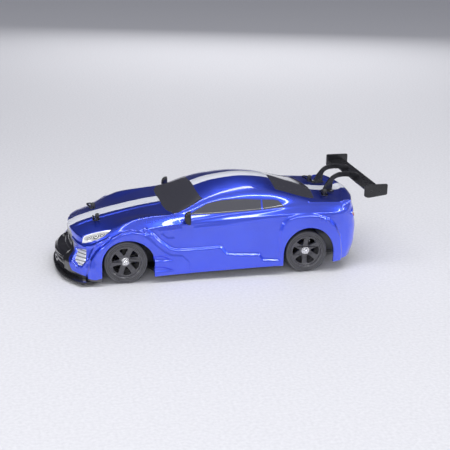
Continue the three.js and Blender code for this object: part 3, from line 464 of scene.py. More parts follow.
def relief(points, normals, zone):
    """How far the moulding stands out from the plain surface at each point."""
    x, half, z = points[:, 0], np.abs(points[:, 1]), points[:, 2]
    out = side_relief(x, z, normals) + nose_relief(x, half, z, normals, zone)
    out += top_relief(x, half, normals) + tail_relief(x, half, z, normals, zone)
    out -= LAMP_DEPTH * soft_step(zone["lamp"] - 0.5, 1.4)
    out += LENS_HEIGHT * soft_step(0.9 - zone["lens"], 0.5) * (zone["lamp"] > 0)
    out -= GLASS_DEPTH * soft_step(zone["glass"] - 0.3, 1.8)
    return out


def trimmed(points, quads):
    """Cuts the wheel openings, post holes and spray outlets: points just inside move to the outline."""
    x, y, z = points.T
    drop = np.zeros(len(points), bool)
    target = points.copy()
    for centre, ahead, behind, height in ARCHES:
        low = z <= AXLE_Z
        level = np.abs(x - centre) / np.where(x > centre, ahead, behind)
        reach = np.where(low, level, np.hypot(level, (z - AXLE_Z) / height))
        hit = (reach < 1) & (np.abs(y) > 42)
        scale = 1 / np.maximum(reach[hit], 0.05)
        target[hit, 0] = centre + (x[hit] - centre) * scale
        target[hit, 2] = np.where(low[hit], z[hit], AXLE_Z + (z[hit] - AXLE_Z) * scale)
        drop |= hit
    for _, side in SIDES:
        for post_x, post_y, _ in (FRONT_POST, REAR_POST):
            hole = (post_x, side * post_y)
            drop |= pulled_to_circle(points, target, (0, 1), hole, POST_R + POST_GAP, z > 40)
        outlet = (side * OUTLET_Y, OUTLET_Z)
        drop |= pulled_to_circle(points, target, (1, 2), outlet, OUTLET_R, x < OUTLETS_FROM)
    quads = quads[~drop[quads].all(axis=1)]
    used = np.unique(quads)
    renumber = np.zeros(len(points), int)
    renumber[used] = np.arange(len(used))
    return target[used], renumber[quads], used


def pulled_to_circle(points, target, axes, centre, radius, where):
    """Moves the target's points inside a round hole to its edge, and says which they are."""
    offset = points[:, axes] - np.array(centre, float)
    reach = np.linalg.norm(offset, axis=1)
    hit = (reach < radius) & where
    scale = radius / np.maximum(reach[hit], 0.05)
    target[np.ix_(hit, axes)] = np.array(centre) + offset[hit] * scale[:, None]
    return hit


def boundary_edges(quads):
    """Edges that only one face uses, in that face's direction."""
    edges = edges_of(quads)
    key = np.sort(edges, axis=1) @ np.array([1, quads.max() + 1])
    _, first, count = np.unique(key, return_index=True, return_counts=True)
    return edges[first[count == 1]]


def body_shell():
    points, quads, rim = shell_grid()
    points = relaxed(points, quads, rim, EASING_ROUNDS)
    normals = point_normals(points, quads)
    zone = zones(points, normals)
    points = points + normals * relief(points, normals, zone)[:, None]
    normals = point_normals(points, quads)
    points, quads, used = trimmed(points, quads)
    inner = points - normals[used] * SHELL_WALL
    edges = boundary_edges(quads)
    count = len(points)
    walls = np.column_stack([edges[:, 1], edges[:, 0], edges[:, 0] + count, edges[:, 1] + count])
    faces = np.concatenate([quads, quads[:, ::-1] + count, walls])
    part = np.concatenate([points, inner]), faces
    shell = piece("shell", part, "shell", "blue_shell", 62, shell_finish())
    for name, values in zone.items():
        attribute = shell.data.attributes.new(name, "FLOAT", "POINT")
        attribute.data.foreach_set("value", np.tile(values[used], 2).astype(np.float32))
    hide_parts("body_shell")


# ---- mesh tools
WELD = 0.001


def placed(points):
    """Millimetres from the middle of the wheelbase to metres in the CAD frame."""
    return (np.asarray(points, float) + (SHIFT, 0, 0)) * MM


def added(name, data):
    """A new object in the scene."""
    made = bpy.data.objects.new(name, data)
    bpy.context.scene.collection.objects.link(made)
    return made


def piece(name, part, body, slot, sharp=35, finish=None):
    """A smooth-shaded mesh object, in place on its CAD body if it has one."""
    points, faces = part
    mesh = bpy.data.meshes.new(name)
    mesh.from_pydata(placed(points).tolist(), [], [list(map(int, f)) for f in faces])
    mesh.validate()
    mesh.shade_smooth()
    mesh.set_sharp_from_angle(angle=math.radians(sharp))
    mesh.materials.append(finish or FINISHES[slot])
    made = added(name, mesh)
    if body:
        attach(made, body)
    return made


def fine(node, part, body, slot, sharp=35, finish=None):
    """A finished piece that stands for a CAD node."""
    made = piece(f"{node}_fine", part, body, slot, sharp, finish)
    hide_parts(node)
    return made


def joined(*parts):
    """Several (points, faces) parts as one."""
    points, faces, count = [], [], 0
    for part_points, part_faces in parts:
        points.extend(part_points)
        faces.extend([[k + count for k in face] for face in part_faces])
        count += len(part_points)
    return np.array(points, float), faces


def mirrored(part, side):
    """The part itself on the left, its mirror image on the right."""
    points, faces = part
    points = np.array(points, float) * (1, side, 1)
    return points, faces if side > 0 else [list(face)[::-1] for face in faces]


def ring_faces(rings, sides, looped=False):
    """Faces between rings of equally many points. The last ring joins the first, or both ends are capped."""
    faces = []
    for ring in range(rings if looped else rings - 1):
        here, beyond = ring * sides, (ring + 1) % rings * sides
        for k in range(sides):
            m = (k + 1) % sides
            faces.append([here + k, here + m, beyond + m, beyond + k])
    if not looped:
        faces.append(list(range(sides))[::-1])
        faces.append(list(range((rings - 1) * sides, rings * sides)))
    return faces


def angles(sides):
    return [2 * math.pi * k / sides for k in range(sides)]


def turned(profile, sides, centre=(0.0, 0.0), closed=True):
    """A profile of (radius, y) turned about a line along y. An open profile is capped at both ends."""
    x, z = centre
    points = [(x + r * math.cos(a), y, z + r * math.sin(a)) for r, y in profile for a in angles(sides)]
    return outwards((points, ring_faces(len(profile), sides, closed)))


def outwards(part):
    """Turns the faces so that the closed part's volume is positive."""
    points, faces = part
    points = np.array(points, float)
    volume = 0.0
    for face in faces:
        for k in range(1, len(face) - 1):
            a, b, c = points[face[0]], points[face[k]], points[face[k + 1]]
            volume += np.dot(a, np.cross(b, c))
    return points, faces if volume > 0 else [list(face)[::-1] for face in faces]


def bar(start, end, radii, sides=24):
    """A round bar between two points; radii are (share along, radius) pairs."""
    start, end = Vector(start), Vector(end)
    turn = Vector((0, 0, 1)).rotation_difference((end - start).normalized())
    points = []
    for share, radius in radii:
        for a in angles(sides):
            spot = start.lerp(end, share) + turn @ Vector((radius * math.cos(a), radius * math.sin(a), 0))
            points.append(tuple(spot))
    return points, ring_faces(len(radii), sides)


def plate(plane, loops, low, high, edge=0.3, steps=2):
    """Flat outlines (the first is the outside, the rest are holes) given a thickness and eased edges."""
    curve = bpy.data.curves.new("outline", "CURVE")
    curve.dimensions = "2D"
    curve.fill_mode = "BOTH"
    curve.extrude = (high - low) / 2 - edge
    curve.bevel_depth = edge
    curve.bevel_resolution = steps
    curve.offset = -edge
    for loop in loops:
        spline = curve.splines.new("POLY")
        spline.points.add(len(loop) - 1)
        spline.use_cyclic_u = True
        for point, (a, b) in zip(spline.points, loop):
            point.co = (a, b, 0, 1)
    holder = added("outline", curve)
    bpy.context.view_layer.update()
    mesh = bpy.data.meshes.new_from_object(holder.evaluated_get(bpy.context.evaluated_depsgraph_get()))
    points = np.array([v.co for v in mesh.vertices], float)
    faces = [list(p.vertices) for p in mesh.polygons]
    bpy.data.objects.remove(holder)
    bpy.data.curves.remove(curve)
    bpy.data.meshes.remove(mesh)
    points, faces = welded(points, faces)
    a, b, c = points.T
    middle = (low + high) / 2
    columns = {"xy": (a, b, c + middle), "xz": (a, middle - c, b), "yz": (c + middle, a, b)}[plane]
    return outwards((np.column_stack(columns), faces))


def welded(points, faces):
    """Merges points that share a place, and drops faces that collapse."""
    places = np.round(points / WELD)
    _, first, same = np.unique(places, axis=0, return_index=True, return_inverse=True)
    same = same.reshape(-1)
    kept = []
    for face in faces:
        ring = [same[k] for k in face]
        ring = [k for i, k in enumerate(ring) if k != ring[i - 1]]
        if len(set(ring)) > 2:
            kept.append(ring)
    return points[first], kept


def rounded(corners, radius, steps=5):
    """A closed outline with its corners rounded."""
    corners = [Vector(c) for c in corners]
    made = []
    for before, corner, after in zip([corners[-1]] + corners[:-1], corners, corners[1:] + corners[:1]):
        to_before, to_after = before - corner, after - corner
        reach = min(radius, to_before.length * 0.45, to_after.length * 0.45)
        start = corner + to_before.normalized() * reach
        end = corner + to_after.normalized() * reach
        for k in range(steps + 1):
            t = k / steps
            made.append(tuple(start * (1 - t) ** 2 + corner * 2 * t * (1 - t) + end * t * t))
    return made


def circle(r, sides):
    return [(r * math.cos(a), r * math.sin(a)) for a in angles(sides)]


def hexagon(r, y0, y1, edge):
    """A six-sided block across the y axis."""
    return plate("xz", [rounded(circle(r, 6), 0.4, 2)], y0, y1, edge)


def block(x0, x1, y0, y1, z0, z1, edge=0.4):
    """A box with eased edges."""
    outline = rounded([(x0, y0), (x1, y0), (x1, y1), (x0, y1)], edge * 1.5, 3)
    return plate("xy", [outline], z0, z1, edge)


def smooth_path(points, steps):
    """Points along a smooth line through the given ones."""
    pts = [Vector(p) for p in points]
    pts = [pts[0] * 2 - pts[1]] + pts + [pts[-1] * 2 - pts[-2]]
    made = []
    for a, b, c, d in zip(pts, pts[1:], pts[2:], pts[3:]):
        made += [cubic(i / steps, b, (c - a) / 2, c, (d - b) / 2) for i in range(steps)]
    return made + [pts[-2]]


def wire(path, radius, sides=12):
    """A round wire along a path of points, with rounded ends."""
    path = [Vector(p) for p in path]
    points = []
    up = (path[1] - path[0]).orthogonal()
    last = len(path) - 1
    for k, spot in enumerate(path):
        ahead = (path[min(k + 1, last)] - path[max(k - 1, 0)]).normalized()
        up = (up - ahead * up.dot(ahead)).normalized()
        across = ahead.cross(up)
        r = radius * (0.75 if k in (0, last) else 1)
        for a in angles(sides):
            points.append(tuple(spot + up * r * math.cos(a) + across * r * math.sin(a)))
    return points, ring_faces(len(path), sides)


# ---- materials
class Nodes:
    """Adds shader nodes to a tree. An input takes a plain value or another node's output."""

    def __init__(self, tree):
        self.nodes, self.links = tree.nodes, tree.links

    def put(self, socket, value):
        if isinstance(value, bpy.types.NodeSocket):
            self.links.new(value, socket)
        else:
            socket.default_value = (*value, 1) if socket.type == "RGBA" else value

    def node(self, kind, inputs, output=0, **settings):
        """The output of a new node, with its inputs by name or number."""
        made = self.nodes.new("ShaderNode" + kind)
        for name, value in settings.items():
            setattr(made, name, value)
        for key, value in inputs.items():
            self.put(made.inputs[key], value)
        return made.outputs[output]

    def ramp(self, value, start, end, low=0.0, high=1.0):
        """Carries start..end onto low..high, and holds beyond them."""
        return self.node("MapRange", {0: value, 1: start, 2: end, 3: low, 4: high})

    def blend(self, share, one, other):
        """A colour that goes from one to other."""
        return self.node("Mix", {0: share, 6: one, 7: other}, 2, data_type="RGBA")

    def mixed(self, share, one, other):
        """A number that goes from one to other."""
        return self.node("Mix", {0: share, 2: one, 3: other})


class Finish(Nodes):
    """A procedural material on one Principled surface."""

    def __init__(self, name, colour, rough, metal=0.0, coat=0.0, coat_ior=1.5):
        self.material = bpy.data.materials.new(name)
        self.material.use_nodes = True
        self.material.diffuse_color = (*colour, 1)
        super().__init__(self.material.node_tree)
        self.surface = self.nodes["Principled BSDF"]
        self.place = self.node("TexCoord", {}, "Object")
        self.bumps = None
        self.set("Base Color", colour)
        self.set("Roughness", rough)
        self.set("Metallic", metal)
        self.set("Coat Weight", coat)
        self.set("Coat Roughness", 0.04)
        self.set("Coat IOR", coat_ior)

    def set(self, socket, value):
        self.put(self.surface.inputs[socket], value)

    def noise(self, scale, detail, stretch=(1, 1, 1)):
        spread = self.node("Mapping", {"Vector": self.place, "Scale": stretch})
        return self.node("TexNoise", {"Vector": spread, "Scale": scale, "Detail": detail})

    def between(self, noise, low, high):
        """Noise spread over low..high."""
        return self.ramp(noise, 0.3, 0.7, low, high)

    def mottle(self, noise, one, other):
        """A base colour that noise drives from one to other."""
        self.set("Base Color", self.blend(self.between(noise, 0.0, 1.0), one, other))

    def bump(self, height, depth):
        """Adds fine relief of the given depth in metres."""
        below = {"Normal": self.bumps} if self.bumps else {}
        self.bumps = self.node("Bump", {"Strength": 1.0, "Distance": depth, "Height": height, **below})
        self.set("Normal", self.bumps)

    def painted(self, name):
        """A value stored on the shell's points."""
        return self.node("Attribute", {}, "Fac", attribute_name=name)

    def zone(self, name, edge=0.12, offset=0.0):
        """1 inside a named area of the shell and 0 outside it."""
        return self.ramp(self.painted(name), offset - edge, offset + edge)

    def edge_highlight(self, colour, amount):
        """Lightens sharp edges towards a colour: a painted highlight."""
        lit_edge = self.ramp(self.node("NewGeometry", {}, "Pointiness"), 0.52, 0.6, 0.0, amount)
        under = self.surface.inputs["Base Color"].links[0].from_socket
        self.set("Base Color", self.blend(lit_edge, under, colour))


def lens_rings(f):
    """Dark and bright rings round each headlamp lens."""
    rings = f.nodes.new("ShaderNodeValToRGB")
    rings.color_ramp.interpolation = "CONSTANT"
    stops = rings.color_ramp.elements
    for k, (at, value) in enumerate(((0.0, 0.04), (0.36, 0.62), (0.70, 0.03), (0.97, 0.42))):
        stop = stops[k] if k < 2 else stops.new(at)
        stop.position = at
        stop.color = (value, value, value * 1.02, 1)
    f.put(rings.inputs[0], f.painted("lens"))
    return rings.outputs[0]


def shell_finish():
    """Candy blue over metal flake, silver stripe, dark windows, chrome lamps and black grilles."""
    f = Finish("shell_paint", (0.004, 0.03, 0.8), 0.3, coat=1.0, coat_ior=1.9)
    flake = f.noise(5200, 2.0)
    cloud = f.between(f.noise(28, 3.0), 0.0, 1.0)
    blue = f.blend(cloud, (0.018, 0.060, 0.86), (0.028, 0.082, 0.96))
    blue = f.blend(f.between(flake, 0.0, 0.16), blue, (0.10, 0.22, 1.0))
    silver = f.blend(f.between(flake, 0.0, 1.0), (0.66, 0.68, 0.76), (0.78, 0.80, 0.88))
    # Light grey slats; the grooves between them are painted darker, as painted shade in the recesses.
    slats_and_shaded_gaps = f.blend(f.zone("slat_wave", 0.25, -0.45), (0.22, 0.23, 0.25), (0.66, 0.67, 0.70))
    bowl = f.blend(f.zone("lamp", 0.15, 0.6), (0.86, 0.87, 0.90), lens_rings(f))
    colour, metallic = blue, 0.92
    for area, paint, metal_share in (
        ("stripe", silver, 0.0), ("black", (0.006, 0.006, 0.008), 0.0), ("tail", (0.42, 0.008, 0.012), 0.0),
        ("slats", slats_and_shaded_gaps, 0.2), ("lamp", bowl, 0.2), ("glass", (0.036, 0.036, 0.046), 0.0),
    ):
        colour = f.blend(f.zone(area), colour, paint)
        metallic = f.mixed(f.zone(area), metallic, metal_share)
    f.set("Base Color", colour)
    f.set("Metallic", metallic)
    rough = f.mixed(cloud, 0.27, 0.31)
    for area, value in (("black", 0.3), ("stripe", 0.4), ("glass", 0.14)):
        rough = f.mixed(f.zone(area), rough, value)
    f.set("Roughness", rough)
    f.bump(f.noise(420, 2.0), 0.000002)
    f.bump(f.noise(60, 1.0), 0.000012)
    return f.material


def plastic(name, colour, rough, grain=0.00004, grain_scale=2200, coat=0.0, edge_light=0.25):
    f = Finish(name, colour, rough, coat=coat)
    f.mottle(f.noise(70, 4.0), [c * 0.82 for c in colour], [c * 1.2 + 0.002 for c in colour])
    f.set("Roughness", f.between(f.noise(310, 3.0), rough - 0.05, rough + 0.07))
    f.bump(f.noise(grain_scale, 2.0), grain)
    # Sharp edges are lightened as a painted highlight.
    f.edge_highlight([min(1, c * 2.2 + 0.03) for c in colour], edge_light)
    return f.material


def metal(name, colour, rough):
    f = Finish(name, colour, rough, metal=1.0)
    brush = f.noise(1600, 2.0)
    f.set("Roughness", f.between(brush, rough, rough + 0.05))
    f.mottle(f.noise(120, 3.0), [c * 0.85 for c in colour], colour)
    f.bump(brush, 0.000002)
    return f.material


def rubber():
    f = Finish("tyre_rubber", (0.022, 0.022, 0.024), 0.55)
    f.mottle(f.noise(160, 6.0), (0.036, 0.036, 0.040), (0.058, 0.058, 0.064))
    f.set("Roughness", f.between(f.noise(240, 4.0), 0.42, 0.66))
    f.bump(f.noise(1500, 3.0), 0.00004)
    # The tyre's sharp edges are lightened grey as a painted highlight.
    f.edge_highlight((0.20, 0.20, 0.22), 0.8)
    return f.material


def foam():
    f = Finish("foam", (0.02, 0.02, 0.022), 0.95)
    cell = f.node("TexVoronoi", {"Vector": f.place, "Scale": 900.0})
    f.bump(cell, 0.0002)
    f.set("Base Color", f.blend(cell, (0.01, 0.01, 0.011), (0.035, 0.035, 0.038)))
    return f.material


def smoked_tank():
    f = Finish("tank_plastic", (0.03, 0.032, 0.036), 0.18, coat=0.5)
    f.mottle(f.noise(90, 3.0), (0.02, 0.021, 0.024), (0.042, 0.045, 0.05))
    f.bump(f.noise(300, 2.0), 0.00003)
    return f.material


def wrap():
    f = Finish("battery_wrap", (0.02, 0.13, 0.5), 0.28, coat=0.5)
    fold = f.noise(140, 5.0, (1, 6, 1))
    f.mottle(fold, (0.015, 0.1, 0.42), (0.03, 0.17, 0.58))
    f.bump(fold, 0.0003)
    return f.material


# The last number of each plastic is how strongly its sharp edges are lightened as a painted highlight.
FINISHES = {
    "black_gloss": plastic("black_gloss", (0.007, 0.007, 0.009), 0.30, 0.000002, 900, 0.25, 0.02),
    "black_plastic": plastic("black_plastic", (0.022, 0.022, 0.024), 0.48),
    "tyre_rubber": rubber(),
    "rim_plastic": plastic("rim_plastic", (0.062, 0.061, 0.070), 0.26, 0.000004, 1200, 0.4, 0.8),
    "steel": metal("steel", (0.72, 0.72, 0.74), 0.24),
    "spring_steel": metal("spring_steel", (0.82, 0.82, 0.84), 0.16),
    "gear_plastic": plastic("gear_plastic", (0.76, 0.74, 0.66), 0.4),
    "electronics": plastic("electronics", (0.035, 0.037, 0.042), 0.42),
    "battery_wrap": wrap(),
    "tank_plastic": smoked_tank(),
    "foam": foam(),
}
CLIP_STEEL = metal("clip_steel", (0.05, 0.05, 0.055), 0.22)
BRIGHT = metal("bright_steel", (0.9, 0.9, 0.91), 0.12)


def finish_cad_nodes():
    """Gives each CAD node that stays in view its slot's finish and eased edges."""
    for row in frame["record"]["subparts"]:
        node = frame["nodes"][row["node"]]
        if node.hide_render or row["material_slot"] not in FINISHES:
            continue
        node.data.materials.clear()
        node.data.materials.append(FINISHES[row["material_slot"]])
        ease = node.modifiers.new("eased edges", "BEVEL")
        ease.width = 0.25 * MM
        ease.segments = 2
        ease.limit_method = "ANGLE"
        ease.angle_limit = math.radians(40)


# ---- wheels
def tyre():
    """Slick tread, shoulders, and fine rings on the outer wall."""
    inner_wall = [(RIM_R + 0.1, 0.8), (RIM_R + 1.2, 0), (18.9, 0.1), (19.9, 0.8), (20.4, 2), (TYRE_R, 3.6)]
    outer_wall = [
        (TYRE_R, 3.6), (20.4, 2), (20.0, 0.95), (19.3, 0.35), (18.5, 0.2), (18.35, 0.5), (18.0, 0.5),
        (17.85, 0.05), (17.3, 0), (17.1, 0.35), (16.3, 0.4), (16.15, 0.2), (15.8, 0.3), (RIM_R + 0.1, 0.9),
    ]
    profile = [(r, TYRE_IN + depth) for r, depth in inner_wall]
    return turned(profile + [(r, TYRE_OUT - depth) for r, depth in outer_wall], ROUND)


def rim(turn):
    """Barrel with a rolled lip, and a dished face with spokes turned by some degrees."""
    low, high = TYRE_IN + 0.3, TYRE_OUT - 0.1
    barrel = turned([
        (RIM_R, low), (RIM_R, high - 0.6), (RIM_R - 0.3, high - 0.1), (RIM_R - 0.7, high),
        (RIM_R - 1.0, high - 0.3), (RIM_R - 1.1, high - 1.2), (RIM_R - 1.5, high - 1.9), (RIM_R - 1.5, low),
    ], ROUND)
    half_window = [(5.9, 0.13), (8, 0.225), (10.2, 0.29), (12.7, 0.33), (13.05, 0.16)]
    window = half_window + [(13.15, 0)] + [(r, -a) for r, a in half_window[::-1]]
    windows = []
    for k in range(SPOKES):
        middle = 2 * math.pi * (k + 0.5) / SPOKES + math.radians(turn)
        ring = [(r * math.cos(middle + a), r * math.sin(middle + a)) for r, a in window]
        windows.append(rounded(ring, 0.8, 3)[::-1])
    points, faces = plate("xz", [circle(RIM_R - 0.9, ROUND)] + windows, HUB_IN, HUB_IN + 2.8, 0.35, 3)
    dish = np.clip((np.hypot(points[:, 0], points[:, 2]) - 5) / 9, 0, 1.2)
    points[:, 1] += 2.9 * dish**1.6
    hub = [(1.7, -0.1), (4.9, -0.1), (5.3, 0.6), (5.3, 2.6), (4.8, 3.2), (1.7, 3.2)]
    return joined(barrel, (points, faces), turned([(r, HUB_IN + y) for r, y in hub], 48))


def wheel_nut():
    """Flanged hex nut with a serrated rim, on the end of the axle."""
    low, high = circle(3.7, 36), circle(3.95, 36)
    teeth = [(high if k % 2 else low)[k] for k in range(36)]
    flange = plate("xz", [teeth], FLANGE_IN, FLANGE_IN + 0.8, 0.15, 1)
    head = hexagon(3.25, NUT_IN, NUT_IN + 2.2, 0.35)
    collar = turned([(1.6, 55.6), (2.4, 55.6), (2.4, 56.1), (2.1, 56.3), (1.6, 56.3)], 32)
    end = turned([(1.5, 55), (1.5, 56.4), (1.2, 56.7)], 24, closed=False)
    return joined(flange, head, collar, end)


def axle(inner, ball_end):
    """Nut, shaft from its inner end, and hex drive; a rear axle ends in a ball."""
    ends = [(1.2, inner), (1.5, inner + 0.3), (1.5, SHAFT_OUT - 0.2), (1.2, SHAFT_OUT)]
    shaft = turned(ends, 24, closed=False)
    parts = [wheel_nut(), shaft, hexagon(4, DRIVE_IN, DRIVE_IN + 2.3, 0.3)]
    if ball_end:
        half_turn = np.linspace(0.05, math.pi - 0.05, 13)
        ball = [(2.2 * math.sin(a), inner - 2.2 * math.cos(a)) for a in half_turn]
        parts.append(turned(ball, 24, closed=False))
    return joined(*parts)


def wheels():
    for end, axle_x in ENDS:
        parts = (
            ("tyre", tyre(), "tyre_rubber", None),
            ("rim", rim(SPOKE_TURN[end]), "rim_plastic", None),
            ("axle", axle(SHAFT_IN[end], end == "rear"), "steel", BRIGHT),
        )
        for hand, side in SIDES:
            for name, (points, faces), slot, finish in parts:
                part = mirrored((points + (axle_x, 0, AXLE_Z), faces), side)
                fine(f"{name}_{end}_{hand}", part, f"wheel_{end}_{hand}", slot, 32, finish)


# ---- trim
def front_lip():
    half = 60
    front = [(148 - 20 * abs(y / half) ** 2.8, y) for y in np.linspace(-half, half, 61)]
    back = [(118, half), (111.4, 55.3), (114.5, 50), (130, 34), (134, 12)]
    back += [(x, -y) for x, y in back[::-1]]
    fine("front_lip", plate("xy", [front + back], 2.7, 4.7, 0.6, 3), "shell", "black_gloss", 40)


def wing():
    """Blade with end plates, and the bolts that hold them."""
    top = [(-144.7, 77.9), (-146, 78.5), (-148.5, 78.85), (-152, 79.05), (-156, 79.3), (-160.3, 79.55)]
    bottom = [(-160.5, 78.4), (-156, 77.7), (-151, 77.15), (-147.5, 77.05), (-145, 77.25)]
    parts = [plate("xz", [top + bottom], -56.6, 56.6, 0.15)]
    fin = rounded([(-142, 73), (-142, 84.6), (-165, 84.6), (-165, 74), (-146, 71.5)], 1.6)
    bolt = [(0.2, 58.0), (0.45, 58.55), (1.0, 58.5), (1.3, 58.1), (1.3, 57.9)]
    bolts = []
    for _, side in SIDES:
        parts.append(mirrored(plate("xz", [fin], 56.4, 58.2, 0.35, 3), side))
        for centre in ((-148.5, 78.0), (-157.5, 78.5)):
            bolts.append(mirrored(turned(bolt, 20, centre, closed=False), side))
    fine("wing_blade", joined(*parts), "shell", "black_gloss")
    piece("wing_bolts", joined(*bolts), "shell", "black_gloss")


def wing_stays():
    """Two arched stays, each with a foot held by two round-headed screws."""
    arch = rounded([
        (-113.8, 67.2), (-116.4, 73), (-119.8, 78.4), (-124, 83), (-130, 85.8), (-138, 86.4), (-146, 85.6),
        (-151.5, 83.4), (-151.5, 79.8), (-145, 79.6), (-142, 81), (-135, 81.6), (-128, 80.6), (-124.4, 77.5),
        (-123.8, 67.4),
    ], 2.2)
    foot = rounded([(-113, 12.9), (-125, 12.9), (-125, 19.5), (-113, 19.5)], 1.2)
    stay = joined(plate("xz", [arch], 13.7, 16.3, 0.4, 3), plate("xy", [foot], 67.3, 68.6, 0.3))
    dome = [(0, 1.0), (0.3, 1.3), (0.62, 1.25), (1.0, 0.15)]
    screws = joined(*[bar((x, 17.9, 68.4), (x, 17.9, 69.4), dome, 20) for x in (-115.5, -122.5)])
    for hand, side in SIDES:
        fine(f"wing_stay_{hand}", mirrored(stay, side), "shell", "black_gloss")
        piece(f"wing_stay_{hand}_screws", mirrored(screws, side), "shell", "steel", finish=BRIGHT)


def mirrors():
    """Door mirrors: a rounded pod on a stalk, with recessed glass facing back."""
    rows, around = 12, 28
    x0, y0, z0 = MIRROR
    points = []
    for row in range(rows + 1):
        t = row / rows
        swell = math.sqrt(1 - (1 - t) ** 2.4) * (1 - 0.05 * t)
        for a in angles(around):
            c, s = math.cos(a), math.sin(a)
            high = 6.7 * swell * math.copysign(abs(s) ** 0.75, s)
            wide = 3.4 * swell * math.copysign(abs(c) ** 0.75, c)
            points.append((x0 + 3.9 - 5.8 * t, y0 + wide - 0.08 * high, z0 + high))
    middle = np.array((0, y0, z0))
    glass_edge = middle + (np.array(points[-around:]) - middle) * (1, 0.84, 0.88)
    pod = outwards((np.vstack([points, glass_edge, glass_edge + (0.7, 0, 0)]), ring_faces(rows + 3, around)))
    stalk_radii = [(0, 1.8), (0.35, 1.3), (0.7, 1.3), (1, 1.6)]
    stalk = bar((x0, y0 - 5.6, STALK_Z - 1), (x0, y0 - 1.2, STALK_Z), stalk_radii)
    for hand, side in SIDES:
        fine(f"mirror_{hand}", mirrored(joined(pod, stalk), side), "shell", "black_gloss", 40)


def body_clips():
    """Bent wire clips through the posts, along x and y from each post."""
    bends = (
        (0, -4.6), (0, 0), (0, 4.6), (-0.4, 7.6), (1.6, 10.2), (4.4, 9.4), (4.8, 6.6), (3.4, 3.4), (3.9, 1),
        (3.5, -1.4), (3.3, -3.4), (3.9, -4.8),
    )
    for end, (x, y, z) in (("front", FRONT_POST), ("rear", REAR_POST)):
        clip = wire(smooth_path([(x + dx, y + dy, z - 3.6) for dx, dy in bends], 8), 0.68)
        for hand, side in SIDES:
            corner = f"{end}_{hand}"
            fine(f"clip_{corner}", mirrored(clip, side), f"clip_{corner}", "steel", 50, CLIP_STEEL)


# ---- towers and shocks
def towers():
    """Shock towers, each with a shelf that carries the two body posts."""
    half_outline = [(16, 6.8), (13, 30), (22, 40), (22, 49), (12, 49), (9, 42)]
    outline = rounded(half_outline + [(-y, z) for y, z in half_outline[::-1]], 2)
    window = rounded([(-7, 16), (7, 16), (5, 34), (-5, 34)], 2)[::-1]
    for end, axle_x, out, post, shelf_z in (
        ("front", FRONT_X, 1, FRONT_POST, 33), ("rear", REAR_X, -1, REAR_POST, 39),
    ):
        near = axle_x + out * 14.3
        low, high = sorted((near, near + out * 3))
        x, y, z = post
        shelf = block(min(near, x - 3), max(near, x + 3), -y - 3, y + 3, shelf_z, shelf_z + 3)
        foot_z = shelf_z + 1
        ease = [(2.2, 0), (1.2, 0.15), (0.4, 0.55), (0, 1.3)]
        radii = [(0, POST_R)] + [(1 - below / (z - foot_z), POST_R - less) for below, less in ease]
        posts = [bar((x, side * y, foot_z), (x, side * y, z), radii, 32) for _, side in SIDES]
        upright = plate("yz", [outline, window], low, high, 0.4)
        fine(f"{end}_tower", joined(upright, shelf, *posts), "chassis", "black_plastic")


def suspension():
    """Coil-over shocks: a cap and tube on the chassis, and a spring round each."""
    top, foot = Vector((0, 17, 45.5)), Vector((0, 26, 13))
    down = (foot - top).normalized()
    ahead = Vector((1, 0, 0))
    third = down.cross(ahead)
    turns, per_turn = 4.5, 20
    steps = int(turns * per_turn)
    for end, axle_x, out in (("front", FRONT_X, 1), ("rear", REAR_X, -1)):
        start = top + ahead * (axle_x + out * 10)
        path = []
        for k in range(steps + 1):
            a = 2 * math.pi * k / per_turn
            share = k / steps
            along = 4.9 + 20.1 * (share + 0.045 * math.sin(2 * math.pi * share))
            path.append(start + down * along + (ahead * math.cos(a) + third * math.sin(a)) * 3.45)
        coil = wire(path, 0.45, 10)
        cap = bar(start - down * 1.5, start + down * 3.6, [(0, 3.2), (0.1, 3.9), (0.9, 3.9), (1, 3.6)], 32)
        tube = bar(start + down * 3, start + down * 17, [(0, 2.5), (0.93, 2.5), (0.95, 2.75), (1, 2.6)], 32)
        for hand, side in SIDES:
            corner = f"{end}_{hand}"
            spring = fine(f"spring_{corner}", mirrored(coil, side), None, "spring_steel", 60)
            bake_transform(spring)
            fine(f"shock_body_{corner}", mirrored(joined(cap, tube), side), "chassis", "black_plastic")


# ---- studio
CAMERA_AZIMUTH, CAMERA_ELEVATION, CAMERA_ROLL = (math.radians(v) for v in (13.849, 18.425, 1.277))
CAMERA_DISTANCE = 1.09026
CAMERA_SHIFT = (0.020278, 0.031913)
CAMERA_LENS = 87.83
# Each light's name, place, size, power and whether only reflections show it. The others light the
# scene and stay out of reflections.
LIGHTS = (
    ("overhead", (0.0, 0.25, 1.15), (1.5, 0.45), 11, False),
    ("left_softbox", (-0.28, 0.51, 1.10), (2.0, 0.10), 6, True),
    ("right_softbox", (0.28, -0.51, 1.10), (1.8, 0.10), 3, True),
    ("tail_softbox", (-1.28, 0.10, 0.66), (0.75, 0.30), 7, True),
    ("nose_softbox", (1.28, 0.45, 0.62), (0.5, 0.25), 4, True),
    ("left_fill", (0.35, 1.3, 0.45), (1.0, 0.5), 9, False),
    ("right_fill", (-0.35, -1.3, 0.5), (1.0, 0.5), 5, False),
    ("nose_fill", (1.4, 0.2, 0.5), (0.8, 0.5), 4, False),
    ("tail_fill", (-1.4, 0.2, 0.5), (0.8, 0.5), 4, False),
)


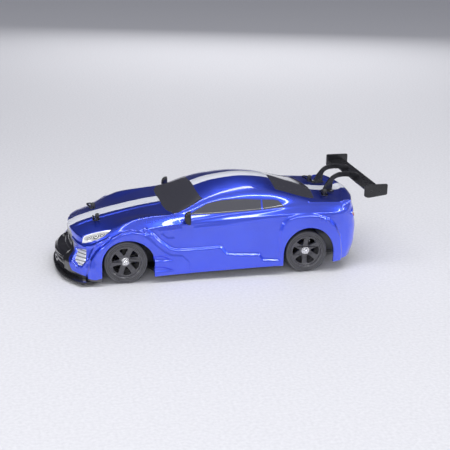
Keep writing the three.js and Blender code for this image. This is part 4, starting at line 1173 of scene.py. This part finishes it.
def camera():
    lens = bpy.data.cameras.new("camera")
    lens.lens = CAMERA_LENS
    lens.sensor_width = 36
    lens.clip_start = 0.01
    eye = added("camera", lens)
    a, e, roll = CAMERA_AZIMUTH, CAMERA_ELEVATION, CAMERA_ROLL
    back = Vector((math.sin(a) * math.cos(e), math.cos(a) * math.cos(e), math.sin(e)))
    level = Vector((-math.cos(a), math.sin(a), 0))
    steep = back.cross(level)
    right = level * math.cos(roll) + steep * math.sin(roll)
    up = steep * math.cos(roll) - level * math.sin(roll)
    spot = right * CAMERA_SHIFT[0] + up * CAMERA_SHIFT[1] + back * CAMERA_DISTANCE
    spot.x += SHIFT * MM
    eye.matrix_world = Matrix.Translation(spot) @ Matrix((right, up, back)).transposed().to_4x4()
    bpy.context.scene.camera = eye


def floor():
    mesh = bpy.data.meshes.new("floor")
    r = 30
    mesh.from_pydata([(-r, -r, 0), (r, -r, 0), (r, r, 0), (-r, r, 0)], [], [(0, 1, 2, 3)])
    pale = Finish("floor", (0.62, 0.62, 0.65), 0.7)
    pale.mottle(pale.noise(350, 6.0), (0.58, 0.58, 0.61), (0.66, 0.66, 0.69))
    mesh.materials.append(pale.material)
    added("floor", mesh)


def lights():
    for name, spot, size, power, reflected in LIGHTS:
        light = bpy.data.lights.new(name, "AREA")
        light.shape = "RECTANGLE"
        light.size, light.size_y = size
        light.energy = power
        lamp = added(name, light)
        lamp.location = spot
        lamp.rotation_euler = (Vector((0, 0, 0.03)) - Vector(spot)).to_track_quat("-Z", "Y").to_euler()
        lamp.visible_glossy = reflected
        lamp.visible_diffuse = not reflected


def sky():
    """Bright overhead and low on the car's left, dim low on its right. The camera sees a flat backdrop."""
    world = bpy.data.worlds.new("studio")
    bpy.context.scene.world = world
    world.use_nodes = True
    tree = Nodes(world.node_tree)
    direction = tree.node("TexCoord", {}, "Generated")
    left, up = (tree.node("SeparateXYZ", {0: direction}, k) for k in (1, 2))
    low = tree.blend(tree.ramp(left, -0.1, 0.45), (0.055, 0.055, 0.07), (0.50, 0.51, 0.56))
    dome = tree.blend(tree.ramp(up, 0.60, 1.0), low, (0.55, 0.56, 0.60))
    seen = tree.node("LightPath", {}, "Is Camera Ray")
    tree.put(tree.nodes["Background"].inputs[0], tree.blend(seen, dome, (0.70, 0.70, 0.73)))
    bpy.context.scene.view_settings.view_transform = "Standard"


# ---- the car
body_shell()
front_lip()
wing()
wing_stays()
mirrors()
body_clips()
wheels()
towers()
suspension()
finish_cad_nodes()
camera()
floor()
lights()
sky()

bpy.context.view_layer.update()
